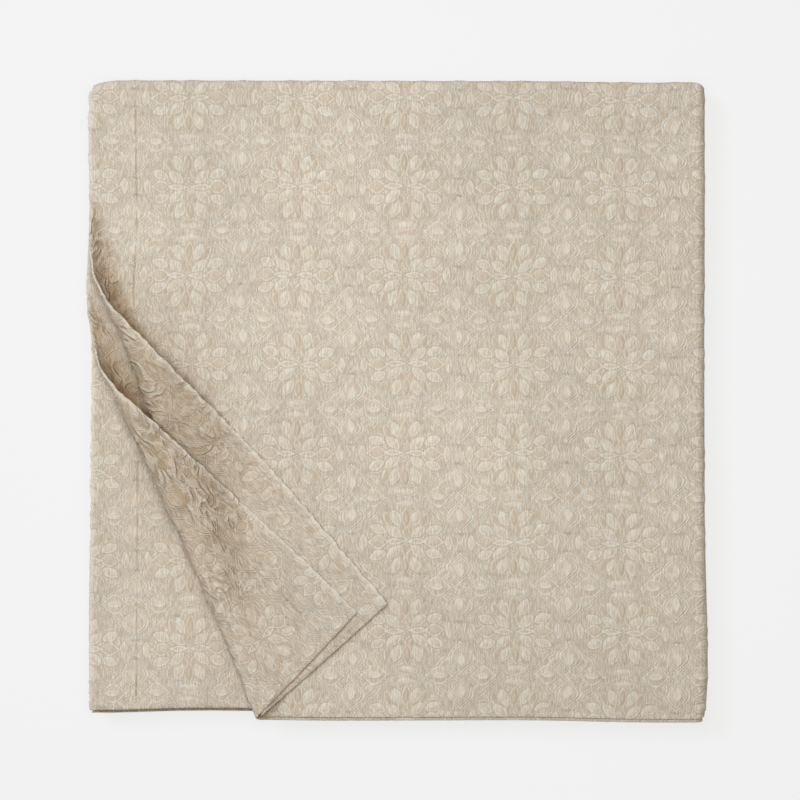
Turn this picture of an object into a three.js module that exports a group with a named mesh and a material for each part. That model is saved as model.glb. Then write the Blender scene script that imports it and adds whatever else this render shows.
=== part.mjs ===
import * as THREE from "three";

// A woven bed coverlet, folded in four both ways and lying flat, with the lower left corner of its
// two upper layers turned back. Millimetres, +Z up, its folded length along Y. The whole coverlet
// is one piece of cloth, worked out from its flat place (across, along) to its folded place.

// Cloth and hems
const CLOTH = 1.4;
const SIDE_HEM = 45;
const HEM_STEP = 1.5;
const HEM_RISE = 0.35;

// Levels: one pack is the four layers that the length folds make
const LAYER_PITCH = 2.4;
const PACK_PITCH = 10;
const PACK_HALF = 1.5 * LAYER_PITCH + CLOTH / 2;
const STACK_HALF = 1.5 * PACK_PITCH + PACK_HALF;

// Places of the folded edges, from the middle of the folded coverlet
const FAR_EDGE = 309.1;
const NEAR_BEND = -305;
const FIRST_END = -311;
const SECOND_END = -314.4;
const LEFT_EDGE = -299.3;
const RIGHT_EDGE = 300.3;
const LEFT_BEND = -297.5;
const LOWER_LEFT_END = -298;
const RIGHT_ROUNDING = 9.6;
const NEST_GAP = 0.6;

// Middles of the bends
const FAR_CENTRE = FAR_EDGE - PACK_HALF;
const NEAR_CENTRE = NEAR_BEND + LAYER_PITCH / 2 + CLOTH / 2;
const OUTER_RADIUS = RIGHT_ROUNDING - PACK_HALF;
const RIGHT_CENTRE = RIGHT_EDGE - RIGHT_ROUNDING;
const INNER_RADIUS = PACK_PITCH / 2;
const INNER_CENTRE = RIGHT_CENTRE + OUTER_RADIUS - 2 * PACK_HALF - INNER_RADIUS - NEST_GAP;
const LEFT_CENTRE = LEFT_BEND + INNER_RADIUS + PACK_HALF;

// Each row is a straight run, or a bend with its turn in half circles (to the left above zero)
const LENGTH_FOLDS = [
  { name: "first layer", run: FAR_CENTRE - FIRST_END, steps: 1 },
  { name: "outer far bend", turn: -1, radius: 1.5 * LAYER_PITCH, steps: 5 },
  { name: "fourth layer", run: FAR_CENTRE - NEAR_CENTRE, steps: 1 },
  { name: "near bend", turn: -1, radius: 0.5 * LAYER_PITCH, steps: 3 },
  { name: "third layer", run: FAR_CENTRE - NEAR_CENTRE, steps: 1 },
  { name: "inner far bend", turn: 1, radius: 0.5 * LAYER_PITCH, steps: 3 },
  { name: "second layer", run: FAR_CENTRE - SECOND_END, steps: 1 },
];
const WIDTH_FOLDS = [
  { name: "top panel", run: RIGHT_CENTRE - LEFT_EDGE, steps: 1 },
  { name: "upper right bend", turn: -0.5, radius: OUTER_RADIUS, steps: 4 },
  { name: "right side", run: 3 * PACK_PITCH - 2 * OUTER_RADIUS, steps: 1 },
  { name: "lower right bend", turn: -0.5, radius: OUTER_RADIUS, steps: 3 },
  { name: "bottom panel", run: RIGHT_CENTRE - LEFT_CENTRE, steps: 1 },
  { name: "left bend", turn: -1, radius: INNER_RADIUS, steps: 3 },
  { name: "third panel", run: INNER_CENTRE - LEFT_CENTRE, steps: 1 },
  { name: "inner right bend", turn: 1, radius: INNER_RADIUS, steps: 3 },
  { name: "second panel", run: INNER_CENTRE - LOWER_LEFT_END, steps: 1 },
];

// The turned-back corners: the visible line of each roll from its upper to its lower end, the roll's
// radius there, from where and over what share of its length the roll tightens, how far its line
// bows inward, and where the corner's tip comes to lie
const FIRST_CORNER = {
  layer: "first layer",
  upper: { x: -286.2, y: 106.8, radius: 15 },
  lower: { x: -132.1, y: -309.6, radius: 3.8 },
  tightens: { from: 0.08, over: 0.52 },
  bow: 0,
  tip: { x: -11.2, y: -200.4 },
};
const SECOND_CORNER = {
  layer: "second layer",
  upper: { x: -292, y: 34.6, radius: 17 },
  lower: { x: -137, y: -312.5, radius: 6 },
  tightens: { from: 0.38, over: 0.47 },
  bow: 4.5,
  tip: { x: -41.4, y: -209.1 },
};
const FLAP_REST = 2.6;
const FALL_IN_RADII = 9;
const SETTLE_IN_RADII = 4;

const ROLL_STATIONS = 9;
const ROLL_STEPS = 6;
const FALL_STEPS = 6;

// Woven pattern: medallions at the corners of each repeat and stars at its middle, puffed up
const REPEAT_X = 105;
const REPEAT_Y = 86.6;
const MEDALLION_X = -97.5;
const MEDALLION_Y = 205.2;
const PUFF = 0.8;
const PUFF_FADE = 10;
const NODES_ACROSS = 6;
const NODES_ALONG = 5;
const PADS = [
  { form: "medallion heart", x: 0, y: 0, halfX: 15, halfY: 17 },
  { form: "medallion side petals", x: 24, y: 0, halfX: 16, halfY: 15 },
  { form: "medallion upright petals", x: 0, y: 20, halfX: 11, halfY: 10 },
  { form: "star side petals", x: REPEAT_X / 2 - 19, y: REPEAT_Y / 2, halfX: 15, halfY: 10 },
  { form: "star upright petals", x: REPEAT_X / 2, y: REPEAT_Y / 2 - 16, halfX: 13, halfY: 13 },
];

// Unevenness of the outline: how far the edges stand out at places along and across the fold.
// Every layer's mesh is cut at these places.
const SIDE_EDGES = [
  { at: -314.4, left: 1.4, right: 1.2 },
  { at: -265, left: 0.9, right: 3.4 },
  { at: -100, left: 0, right: 0.4 },
  { at: 45, left: -1.4, right: 0 },
  { at: 100, left: 3.4, right: 0.3 },
  { at: 170, left: 0, right: 0.4 },
  { at: 309.1, left: 1.2, right: 0.3 },
];
const END_EDGES = [
  { at: -299.3, near: 0.8, far: 0.5 },
  { at: -190, near: -1.6, far: 0.4 },
  { at: -60, near: 0.2, far: 0.3 },
  { at: 120, near: -0.2, far: 0 },
  { at: 250, near: 2, far: -1.6 },
  { at: 300.3, near: 2, far: -1 },
];
const CORNERS = [
  { x: -300, y: 310, reach: 30, pull: 5.5 },
  { x: 300, y: 310, reach: 16, pull: 2.6 },
  { x: 300, y: -312, reach: 14, pull: 1.8 },
  { x: -300, y: -312, reach: 10, pull: 1.2 },
];

// The lower packs' near ends are drawn in under the left of the upper one
const LOWER_IN = 6.5;
const LOWER_TOP = 10.7;
const LOWER_FADE = 1.4;
const LOWER_RIGHT = 60;
const LOWER_SPREAD = 100;
const LOWER_REACH = 200;

// Gentle swells of the whole height
const SWELL = 0.025;
const SWELL_ACROSS = 130;
const SWELL_ALONG = 113;
const SWELL_START = 1;

// Distances taken as none, between merged points and from a point to the edge it lies on; and the
// size of the squares that sort the points
const SAME = 1e-6;
const MERGE = 1e-4;
const ON_EDGE = 1e-3;
const BIN = 40;

function smooth(t) {
  const c = Math.min(1, Math.max(0, t));
  return c * c * (3 - 2 * c);
}

// A path of runs and bends in one plane; at() gives the place and the left-hand normal
function layPath(rows, start) {
  const parts = [];
  let { x, z } = start;
  let heading = 0;
  let from = 0;
  for (const row of rows) {
    const side = Math.sign(row.turn ?? 0);
    const span = row.run ?? Math.abs(row.turn) * Math.PI * row.radius;
    const part = { ...row, side, span, from, x, z, heading };
    parts.push(part);
    const end = along(part, span);
    x = end.x;
    z = end.z;
    heading += (row.turn ?? 0) * Math.PI;
    from += span;
  }
  return { parts, length: from, at: (s) => along(partAt(parts, s), s - partAt(parts, s).from) };
}

function partAt(parts, s) {
  return parts.findLast((part) => s >= part.from - SAME) ?? parts[0];
}

function along(part, s) {
  if (part.side === 0) {
    const [cos, sin] = [Math.cos(part.heading), Math.sin(part.heading)];
    return { x: part.x + s * cos, z: part.z + s * sin, nx: -sin, nz: cos };
  }
  const reach = part.side * part.radius;
  const heading = part.heading + s / reach;
  const nx = -Math.sin(heading);
  const nz = Math.cos(heading);
  const x = part.x + reach * (-Math.sin(part.heading) - nx);
  const z = part.z + reach * (Math.cos(part.heading) - nz);
  return { x, z, nx, nz };
}

const lengthPath = layPath(LENGTH_FOLDS, { x: FIRST_END, z: 1.5 * LAYER_PITCH });
const widthPath = layPath(WIDTH_FOLDS, { x: LEFT_EDGE, z: 1.5 * PACK_PITCH });
const topPanel = widthPath.parts[0];

// One turned-back corner, in the axes of its roll: along the roll, and out towards the corner
function makeFlap(corner) {
  const { upper, lower } = corner;
  const length = Math.hypot(lower.x - upper.x, lower.y - upper.y);
  const ex = (lower.x - upper.x) / length;
  const ey = (lower.y - upper.y) / length;
  const flap = { ...corner, ex, ey, dx: ey, dy: -ex, length, narrow: 1, skew: 0 };
  const endY = corner.layer === "first layer" ? FIRST_END : SECOND_END;
  const tipFlat = rollPlace(flap, LEFT_EDGE, endY);
  const tipRest = rollPlace(flap, corner.tip.x, corner.tip.y);
  const back = tipFlat.beyond - Math.PI * tipFlat.radius;
  const start = tipFlat.out - tipFlat.beyond;
  flap.narrow = (start - tipRest.out) / back;
  flap.skew = (tipRest.along - tipFlat.along) / back;
  return flap;
}

// Radius of a roll, and how far it bows inward, at a share of its length
function rollAt({ upper, lower, tightens, bow }, t) {
  const tight = smooth((t - tightens.from) / tightens.over);
  const between = Math.min(1, Math.max(0, t));
  return {
    radius: upper.radius + (lower.radius - upper.radius) * tight,
    bow: 4 * bow * between * (1 - between),
  };
}

function rollPlace(flap, x, y) {
  const rx = x - flap.upper.x;
  const ry = y - flap.upper.y;
  const t = (rx * flap.ex + ry * flap.ey) / flap.length;
  const out = rx * flap.dx + ry * flap.dy;
  const { radius, bow } = rollAt(flap, t);
  return { t, along: t * flap.length, out, radius, beyond: out + radius + bow };
}

// Plan place of a point so far down a roll and so far out from its line
function onRoll({ upper, ex, ey, dx, dy }, down, out) {
  return [upper.x + down * ex + out * dx, upper.y + down * ey + out * dy];
}

const firstFlap = makeFlap(FIRST_CORNER);
const secondFlap = makeFlap(SECOND_CORNER);

// Height of the first corner's cloth over the first layer: the roll's top, falling to its rest
function firstFlapHeight(x, y) {
  const { radius, beyond } = rollPlace(firstFlap, x, y);
  const fallen = smooth(-beyond / firstFlap.narrow / (FALL_IN_RADII * radius));
  return FLAP_REST + (2 * radius - FLAP_REST) * (1 - fallen);
}

function flapHeight(flap, radius, x, y, back) {
  if (flap === firstFlap) return firstFlapHeight(x, y);
  const over = LAYER_PITCH + firstFlapHeight(x, y) + FLAP_REST;
  return over + (2 * radius - over) * (1 - smooth(back / (SETTLE_IN_RADII * radius)));
}

// Rolls a point of an upper layer back over the roll's line; rise is along the cloth's upward side
function turnBack(flap, x, y, z, rise) {
  const place = rollPlace(flap, x, y);
  const { radius, beyond } = place;
  if (beyond <= 0) return new THREE.Vector3(x, y, z + rise);
  const angle = Math.min(Math.PI, beyond / radius);
  const back = Math.max(0, beyond - Math.PI * radius);
  const out = place.out - beyond + radius * Math.sin(angle) - flap.narrow * back;
  const down = place.along + flap.skew * back;
  const over = onRoll(flap, down, out);
  const lift = back > 0 ? flapHeight(flap, radius, ...over, back) : radius * (1 - Math.cos(angle));
  const shifted = onRoll(flap, down, out - rise * Math.sin(angle));
  return new THREE.Vector3(...shifted, z + lift + rise * Math.cos(angle));
}

function flapOf(u, v) {
  if (u > topPanel.span + SAME) return null;
  const layer = partAt(lengthPath.parts, v).name;
  if (layer === "first layer") return firstFlap;
  return layer === "second layer" ? secondFlap : null;
}

function flatPlan(u, v) {
  return { x: widthPath.at(u).x, y: lengthPath.at(v).x };
}

// How far a flat point lies beyond the start of its corner's roll, in radii of the roll
function turnsBeyond(u, v) {
  const flap = flapOf(u, v);
  if (!flap) return -1;
  const { x, y } = flatPlan(u, v);
  const { beyond, radius } = rollPlace(flap, x, y);
  return beyond / radius;
}

function foldCloth(u, v, rise) {
  const length = lengthPath.at(v);
  const width = widthPath.at(u);
  const flap = flapOf(u, v);
  if (flap) {
    const level = width.z + length.z;
    return turnBack(flap, width.x, length.x, level, rise * Math.sign(length.nz));
  }
  const level = length.z + rise * length.nz;
  const y = length.x + rise * length.nx;
  return new THREE.Vector3(width.x + level * width.nx, y, width.z + level * width.nz);
}

function outAt(rows, edge, place) {
  const next = Math.max(1, rows.findIndex((row) => row.at > place));
  const [a, b] = place > rows.at(-1).at ? rows.slice(-2) : [rows[next - 1], rows[next]];
  const t = Math.min(1, Math.max(0, (place - a.at) / (b.at - a.at)));
  return a[edge] + (b[edge] - a[edge]) * t;
}

// Shifts a point of the neat fold to its uneven place; the underside stays flat
function makeUneven(point) {
  const { x, y, z } = point;
  const right = (x - LEFT_EDGE) / (RIGHT_EDGE - LEFT_EDGE);
  const far = (y - FIRST_END) / (FAR_EDGE - FIRST_END);
  point.x += outAt(SIDE_EDGES, "right", y) * right - outAt(SIDE_EDGES, "left", y) * (1 - right);
  point.y += outAt(END_EDGES, "far", x) * far - outAt(END_EDGES, "near", x) * (1 - far);
  for (const corner of CORNERS) {
    const nearX = 1 - Math.min(1, Math.abs(x - corner.x) / corner.reach);
    const nearY = 1 - Math.min(1, Math.abs(y - corner.y) / corner.reach);
    const pull = corner.pull * nearX * nearX * nearY * nearY;
    point.x -= pull * Math.sign(corner.x);
    point.y -= pull * Math.sign(corner.y);
  }
  const lower = smooth((LOWER_TOP - z) / LOWER_FADE) * smooth((LOWER_RIGHT - x) / LOWER_SPREAD);
  point.y += LOWER_IN * lower * smooth(-y / LOWER_REACH);
  const wave = Math.sin(x / SWELL_ACROSS + SWELL_START) * Math.cos(y / SWELL_ALONG);
  point.z = (z + STACK_HALF) * (1 + SWELL * wave);
  return point;
}

function nearestStep(place, origin, step) {
  const along = place - origin;
  return Math.abs(along - step * Math.round(along / step));
}

// Puffed pattern of the face at a flat place
function puffAt(x, y) {
  const fx = nearestStep(x, MEDALLION_X, REPEAT_X);
  const fy = nearestStep(y, MEDALLION_Y, REPEAT_Y);
  let high = 0;
  for (const pad of PADS) {
    const away = ((fx - pad.x) / pad.halfX) ** 2 + ((fy - pad.y) / pad.halfY) ** 2;
    high = Math.max(high, 1 - away);
  }
  return PUFF * Math.sqrt(high);
}

function hemAt(u) {
  const fromEdge = Math.min(u, widthPath.length - u);
  return 1 - Math.min(1, Math.max(0, (fromEdge - SIDE_HEM) / HEM_STEP));
}

// Rise of the cloth's face or reverse over its middle, puffed only where the face is seen
function riseOf(side, u, v) {
  if (side < 0) return -CLOTH / 2 - HEM_RISE * hemAt(u);
  const flap = flapOf(u, v);
  const turns = turnsBeyond(u, v);
  const fromRoll = flap === firstFlap ? -turns : flap === secondFlap ? turns - Math.PI : 0;
  const { x, y } = flatPlan(u, v);
  return CLOTH / 2 + puffAt(x, y) * smooth(fromRoll) * smooth((RIGHT_CENTRE - x) / PUFF_FADE);
}

// Cells of flat cloth are convex polygons of [u, v]; a cut splits them along a line
function cut(cells, heightOver, applies) {
  return cells.flatMap((cell) => (applies && !applies(cell) ? [cell] : cutCell(cell, heightOver)));
}

function cutCell(cell, heightOver) {
  const heights = cell.map(([u, v]) => heightOver(u, v));
  if (Math.max(...heights) < SAME || Math.min(...heights) > -SAME) return [cell];
  const above = [];
  const below = [];
  cell.forEach((corner, i) => {
    const next = cell[(i + 1) % cell.length];
    const [h, k] = [heights[i], heights[(i + 1) % cell.length]];
    if (h > -SAME) above.push(corner);
    if (h < SAME) below.push(corner);
    if ((h > SAME && k < -SAME) || (h < -SAME && k > SAME)) {
      const t = h / (h - k);
      const crossing = [corner[0] + t * (next[0] - corner[0]), corner[1] + t * (next[1] - corner[1])];
      above.push(crossing);
      below.push(crossing);
    }
  });
  return [above, below];
}

function middleOf(cell) {
  const sum = cell.reduce((total, [u, v]) => [total[0] + u, total[1] + v], [0, 0]);
  return [sum[0] / cell.length, sum[1] / cell.length];
}

function pathLines(path) {
  const lines = path.parts.flatMap(({ from, span, steps }) =>
    Array.from({ length: steps }, (_, i) => from + (span * i) / steps));
  return [...lines, path.length];
}

function coarseCells() {
  const us = [...pathLines(widthPath), SIDE_HEM, SIDE_HEM + HEM_STEP,
    widthPath.length - SIDE_HEM, widthPath.length - SIDE_HEM - HEM_STEP].sort((a, b) => a - b);
  const vs = pathLines(lengthPath);
  let cells = [];
  for (let i = 1; i < us.length; i++) {
    for (let j = 1; j < vs.length; j++) {
      const [u0, u1, v0, v1] = [us[i - 1], us[i], vs[j - 1], vs[j]];
      cells.push([[u0, v0], [u1, v0], [u1, v1], [u0, v1]]);
    }
  }
  for (const row of END_EDGES) cells = cut(cells, (u, v) => flatPlan(u, v).x - row.at);
  for (const row of SIDE_EDGES) cells = cut(cells, (u, v) => flatPlan(u, v).y - row.at);
  return cells;
}

const inLayer = (flap) => (cell) => flapOf(...middleOf(cell)) === flap;

// Where the flat cloth has turned so many radians round its corner's roll, or gone so many radii
// further: straight from one station along the roll to the next
function rollLine(flap, turns) {
  return (u, v) => {
    const { x, y } = flatPlan(u, v);
    const { out, t } = rollPlace(flap, x, y);
    const station = Math.floor(t * ROLL_STATIONS);
    const [a, b] = [station, station + 1].map((k) => rollAt(flap, k / ROLL_STATIONS));
    const part = t * ROLL_STATIONS - station;
    const radius = a.radius + (b.radius - a.radius) * part;
    return out + a.bow + (b.bow - a.bow) * part + radius - turns * radius;
  };
}

function cutRolls(cells) {
  for (const flap of [firstFlap, secondFlap]) {
    const rolled = (cell) => inLayer(flap)(cell) && cell.some(([u, v]) => turnsBeyond(u, v) > 0);
    for (let i = 0; i <= ROLL_STATIONS; i++) {
      cells = cut(cells, (u, v) => {
        const { x, y } = flatPlan(u, v);
        return (rollPlace(flap, x, y).t - i / ROLL_STATIONS) * flap.length;
      }, rolled);
    }
    for (let i = 0; i <= ROLL_STEPS; i++) {
      cells = cut(cells, rollLine(flap, (Math.PI * i) / ROLL_STEPS), inLayer(flap));
    }
    for (let i = 1; i <= FALL_STEPS; i++) {
      const turns = Math.PI + (FALL_IN_RADII * i) / FALL_STEPS;
      cells = cut(cells, rollLine(flap, turns), inLayer(flap));
    }
  }
  return cells;
}

// Cuts the seen face along the nodes of the pattern
function cutPattern(cells) {
  const stepX = REPEAT_X / NODES_ACROSS;
  const stepY = REPEAT_Y / NODES_ALONG;
  const seen = (cell) => {
    const [u, v] = middleOf(cell);
    const turns = turnsBeyond(u, v);
    return flapOf(u, v) === firstFlap ? turns < 0 : flapOf(u, v) === secondFlap && turns > Math.PI;
  };
  const firstX = MEDALLION_X - stepX * Math.floor((MEDALLION_X - LEFT_EDGE) / stepX);
  for (let x = firstX; x < RIGHT_CENTRE; x += stepX) {
    cells = cut(cells, (u, v) => flatPlan(u, v).x - x, seen);
  }
  const firstY = MEDALLION_Y - stepY * Math.floor((MEDALLION_Y - SECOND_END) / stepY);
  for (let y = firstY; y < FAR_CENTRE; y += stepY) {
    cells = cut(cells, (u, v) => flatPlan(u, v).y - y, seen);
  }
  return cells;
}

const keyOf = ([u, v]) => `${Math.round(u / MERGE)},${Math.round(v / MERGE)}`;

function onRim([u, v]) {
  return u < SAME || v < SAME || u > widthPath.length - SAME || v > lengthPath.length - SAME;
}

// Adds to each cell the corners of its neighbours that lie on its edges
function shareCorners(cells, extra) {
  const bins = new Map();
  const binOf = (place) => Math.floor(place / BIN);
  const points = new Map([...cells.flat(), ...extra].map((point) => [keyOf(point), point]));
  for (const point of points.values()) {
    const bin = `${binOf(point[0])},${binOf(point[1])}`;
    if (!bins.has(bin)) bins.set(bin, []);
    bins.get(bin).push(point);
  }
  const span = (a, b) => {
    const first = binOf(Math.min(a, b) - SAME);
    return Array.from({ length: binOf(Math.max(a, b) + SAME) - first + 1 }, (_, i) => first + i);
  };
  const near = (a, b) => span(a[0], b[0]).flatMap((i) =>
    span(a[1], b[1]).flatMap((j) => bins.get(`${i},${j}`) ?? []));
  return cells.map((cell) => cell.flatMap((a, i) => {
    const b = cell[(i + 1) % cell.length];
    const length = Math.hypot(b[0] - a[0], b[1] - a[1]);
    const [eu, ev] = [(b[0] - a[0]) / length, (b[1] - a[1]) / length];
    const between = near(a, b).map((point) => {
      const [ru, rv] = [point[0] - a[0], point[1] - a[1]];
      return { point, along: ru * eu + rv * ev, off: Math.abs(ru * ev - rv * eu) };
    }).filter(({ along, off }) => off < MERGE && along > ON_EDGE && along < length - ON_EDGE);
    between.sort((p, q) => p.along - q.along);
    return [a, ...between.map(({ point }) => point)];
  }));
}

// The closed mesh of the folded cloth: its face, its reverse and the strip around their rims
function buildCoverlet() {
  const plain = cutRolls(coarseCells());
  const patterned = cutPattern(plain);
  const rim = [...plain.flat(), ...patterned.flat()].filter(onRim);
  const positions = [];
  const index = [];
  const layers = [];
  for (const [side, cells] of [[1, patterned], [-1, plain]]) {
    const made = new Map();
    const vertex = (point) => {
      const key = keyOf(point);
      if (!made.has(key)) {
        const [u, v] = point;
        made.set(key, positions.length / 3);
        positions.push(...makeUneven(foldCloth(u, v, riseOf(side, u, v))).toArray());
      }
      return made.get(key);
    };
    const face = (a, b, c) => index.push(...(side > 0 ? [a, b, c] : [a, c, b]));
    for (const cell of shareCorners(cells, rim)) {
      const ring = cell.map(vertex);
      if (ring.length <= 4) {
        for (let i = 2; i < ring.length; i++) face(ring[0], ring[i - 1], ring[i]);
      } else {
        const middle = vertex(middleOf(cell));
        ring.forEach((a, i) => face(a, ring[(i + 1) % ring.length], middle));
      }
    }
    layers.push(vertex);
  }
  closeRim(rim, layers, index);
  const geometry = new THREE.BufferGeometry();
  geometry.setAttribute("position", new THREE.Float32BufferAttribute(positions, 3));
  geometry.setIndex(index);
  geometry.computeVertexNormals();
  return geometry;
}

function closeRim(rim, [face, reverse], index) {
  const [wide, long] = [widthPath.length, lengthPath.length];
  const unique = [...new Map(rim.map((point) => [keyOf(point), point])).values()];
  const sides = [
    unique.filter(([, v]) => v < SAME).sort((a, b) => a[0] - b[0]),
    unique.filter(([u]) => u > wide - SAME).sort((a, b) => a[1] - b[1]),
    unique.filter(([, v]) => v > long - SAME).sort((a, b) => b[0] - a[0]),
    unique.filter(([u]) => u < SAME).sort((a, b) => b[1] - a[1]),
  ];
  for (const side of sides) {
    for (let i = 1; i < side.length; i++) {
      const [a, b] = [face(side[i - 1]), face(side[i])];
      const [c, d] = [reverse(side[i - 1]), reverse(side[i])];
      index.push(a, c, b, b, c, d);
    }
  }
}

const cotton = new THREE.MeshStandardMaterial({ color: 0xd9cfbd, roughness: 0.95, metalness: 0 });
const geometry = buildCoverlet();
geometry.computeBoundingBox();
const middle = geometry.boundingBox.getCenter(new THREE.Vector3());
geometry.translate(-middle.x, -middle.y, 0);

const coverlet = new THREE.Mesh(geometry, cotton);
coverlet.name = "coverlet";
const group = new THREE.Group();
group.add(coverlet);

export default group;
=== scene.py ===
"""Dresses the folded coverlet: its woven cloth, the stitches of its hems, and the stage.

All sizes are in metres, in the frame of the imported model. The cloth is worked out from its flat
place (across, along) to its folded place, as its solid is.
"""

import math

import bpy
import numpy as np
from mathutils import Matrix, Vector


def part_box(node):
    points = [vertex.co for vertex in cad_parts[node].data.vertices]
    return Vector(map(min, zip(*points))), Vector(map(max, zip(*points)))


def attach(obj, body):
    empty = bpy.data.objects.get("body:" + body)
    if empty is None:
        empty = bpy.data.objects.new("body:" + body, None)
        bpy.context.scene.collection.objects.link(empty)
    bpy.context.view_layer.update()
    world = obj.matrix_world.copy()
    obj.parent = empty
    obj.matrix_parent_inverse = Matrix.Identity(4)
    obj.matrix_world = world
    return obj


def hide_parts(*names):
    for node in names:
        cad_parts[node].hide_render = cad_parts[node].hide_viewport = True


bl_info = {
    "name": "Folded coverlet",
    "version": (1, 0, 0),
    "blender": (4, 5, 0),
    "location": "3D View > Sidebar > Coverlet",
    "description": "Dresses the folded coverlet in woven cloth, hem stitches and a stage",
    "category": "Object",
}

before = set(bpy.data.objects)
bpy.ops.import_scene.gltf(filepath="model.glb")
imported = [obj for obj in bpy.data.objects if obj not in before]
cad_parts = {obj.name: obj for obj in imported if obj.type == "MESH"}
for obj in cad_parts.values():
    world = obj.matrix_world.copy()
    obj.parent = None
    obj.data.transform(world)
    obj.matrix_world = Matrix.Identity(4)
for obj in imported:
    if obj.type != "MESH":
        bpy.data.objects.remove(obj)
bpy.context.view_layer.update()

# Cloth and hems
CLOTH = 0.0014
SIDE_HEM = 0.045
END_HEM = 0.005
HEM_STEP = 0.0012
HEM_RISE = 0.00045
SEAM_HALF = 0.0022
SEAM_DEPTH = 0.0005
END_SEAM_LENGTH = 0.013

# Waves: their length and the length of a slower wave that speeds them up and slows them down, both
# over two pi, how much that one does, and how high they are
EDGE_WAVE = {"length": 0.0023, "slow": 0.0091, "swing": 2.0, "high": 0.0005}
EDGE_SWAY = {"length": 0.0052, "slow": 1.0, "swing": 0.0, "high": 0.00035}
SEAM_WAVE = {"length": 0.011, "slow": 0.037, "swing": 2.0, "high": 0.35}
RIPPLE = {"length": 0.0105, "slow": 0.031, "swing": 2.2, "high": 0.00042}
FINE_RIPPLE = {"length": 0.0037, "slow": 0.013, "swing": 3.0, "high": 0.00016}
RIPPLE_SLANT = 0.02
EDGE_WAVE_REACH = 0.006

# Levels of the folded stack
LAYER_PITCH = 0.0024
PACK_PITCH = 0.010
PACK_HALF = 1.5 * LAYER_PITCH + CLOTH / 2
STACK_HALF = 1.5 * PACK_PITCH + PACK_HALF

# Places of the folded edges
FAR_EDGE = 0.3091
NEAR_BEND = -0.305
FIRST_END = -0.311
SECOND_END = -0.3144
LEFT_EDGE = -0.2993
RIGHT_EDGE = 0.3003
LEFT_BEND = -0.2975
LOWER_LEFT_END = -0.298
RIGHT_ROUNDING = 0.0096
NEST_GAP = 0.0006
FAR_CENTRE = FAR_EDGE - PACK_HALF
NEAR_CENTRE = NEAR_BEND + LAYER_PITCH / 2 + CLOTH / 2
OUTER_RADIUS = RIGHT_ROUNDING - PACK_HALF
RIGHT_CENTRE = RIGHT_EDGE - RIGHT_ROUNDING
INNER_RADIUS = PACK_PITCH / 2
INNER_CENTRE = RIGHT_CENTRE + OUTER_RADIUS - 2 * PACK_HALF - INNER_RADIUS - NEST_GAP
LEFT_CENTRE = LEFT_BEND + INNER_RADIUS + PACK_HALF

# Runs, and bends with their turn in half circles, to the left above zero
LENGTH_FOLDS = (
    {"name": "first layer", "run": FAR_CENTRE - FIRST_END},
    {"name": "outer far bend", "turn": -1, "radius": 1.5 * LAYER_PITCH},
    {"name": "fourth layer", "run": FAR_CENTRE - NEAR_CENTRE},
    {"name": "near bend", "turn": -1, "radius": 0.5 * LAYER_PITCH},
    {"name": "third layer", "run": FAR_CENTRE - NEAR_CENTRE},
    {"name": "inner far bend", "turn": 1, "radius": 0.5 * LAYER_PITCH},
    {"name": "second layer", "run": FAR_CENTRE - SECOND_END},
)
WIDTH_FOLDS = (
    {"name": "top panel", "run": RIGHT_CENTRE - LEFT_EDGE},
    {"name": "upper right bend", "turn": -0.5, "radius": OUTER_RADIUS},
    {"name": "right side", "run": 3 * PACK_PITCH - 2 * OUTER_RADIUS},
    {"name": "lower right bend", "turn": -0.5, "radius": OUTER_RADIUS},
    {"name": "bottom panel", "run": RIGHT_CENTRE - LEFT_CENTRE},
    {"name": "left bend", "turn": -1, "radius": INNER_RADIUS},
    {"name": "third panel", "run": INNER_CENTRE - LEFT_CENTRE},
    {"name": "inner right bend", "turn": 1, "radius": INNER_RADIUS},
    {"name": "second panel", "run": INNER_CENTRE - LOWER_LEFT_END},
)

# The turned-back corners: the visible line of each roll, its radii and where its tip comes to lie
FIRST_CORNER = {
    "end": FIRST_END,
    "upper": (-0.2862, 0.1068),
    "lower": (-0.1321, -0.3096),
    "radii": (0.015, 0.0038),
    "tightens": (0.08, 0.52),
    "calm": (0.15, 0.5),
    "bow": 0.0,
    "tip": (-0.0112, -0.2004),
}
SECOND_CORNER = {
    "end": SECOND_END,
    "upper": (-0.292, 0.0346),
    "lower": (-0.137, -0.3125),
    "radii": (0.017, 0.006),
    "tightens": (0.38, 0.47),
    "calm": (0.3, 0.6),
    "bow": 0.0045,
    "tip": (-0.0414, -0.2091),
}
FLAP_REST = 0.0026
FALL_IN_RADII = 9
SETTLE_IN_RADII = 4

# Crumpling at a roll, in its look (its bumps, its painted shade and the painted shade and highlights
# of its creases) and in its ripples: how far before the roll it starts, how soon it is full, where
# past the roll it fades, and what is left of it further off or at the calm lower end
CRUMPLE = {"before": 0.012, "soft": 0.014, "reach": 0.07}
CRUMPLE_REST = 0.12
CRUMPLE_CALM = 0.15
RIPPLES = {"before": 0.006, "soft": 0.012, "reach": 0.055}
RIPPLES_CALM = 0.35
RIPPLES_FADE = (0.45, 0.5)

# Painted shade that the cloth gives its own hollows and the cloth beside its raised edges, baked
# into its colour: size of the squares that the heights are sorted into, how far off a neighbour
# counts, in how many directions, how much higher it is at least, and how much more the left side,
# where the key light stands, counts
SHADE_CELL = 0.0035
SHADE_STEPS = (0.0045, 0.008, 0.013, 0.019, 0.027, 0.045, 0.07)
SHADE_SIDES = 16
SHADE_STEP_UP = 0.0011
SHADE_LEFT = 0.3

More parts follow.
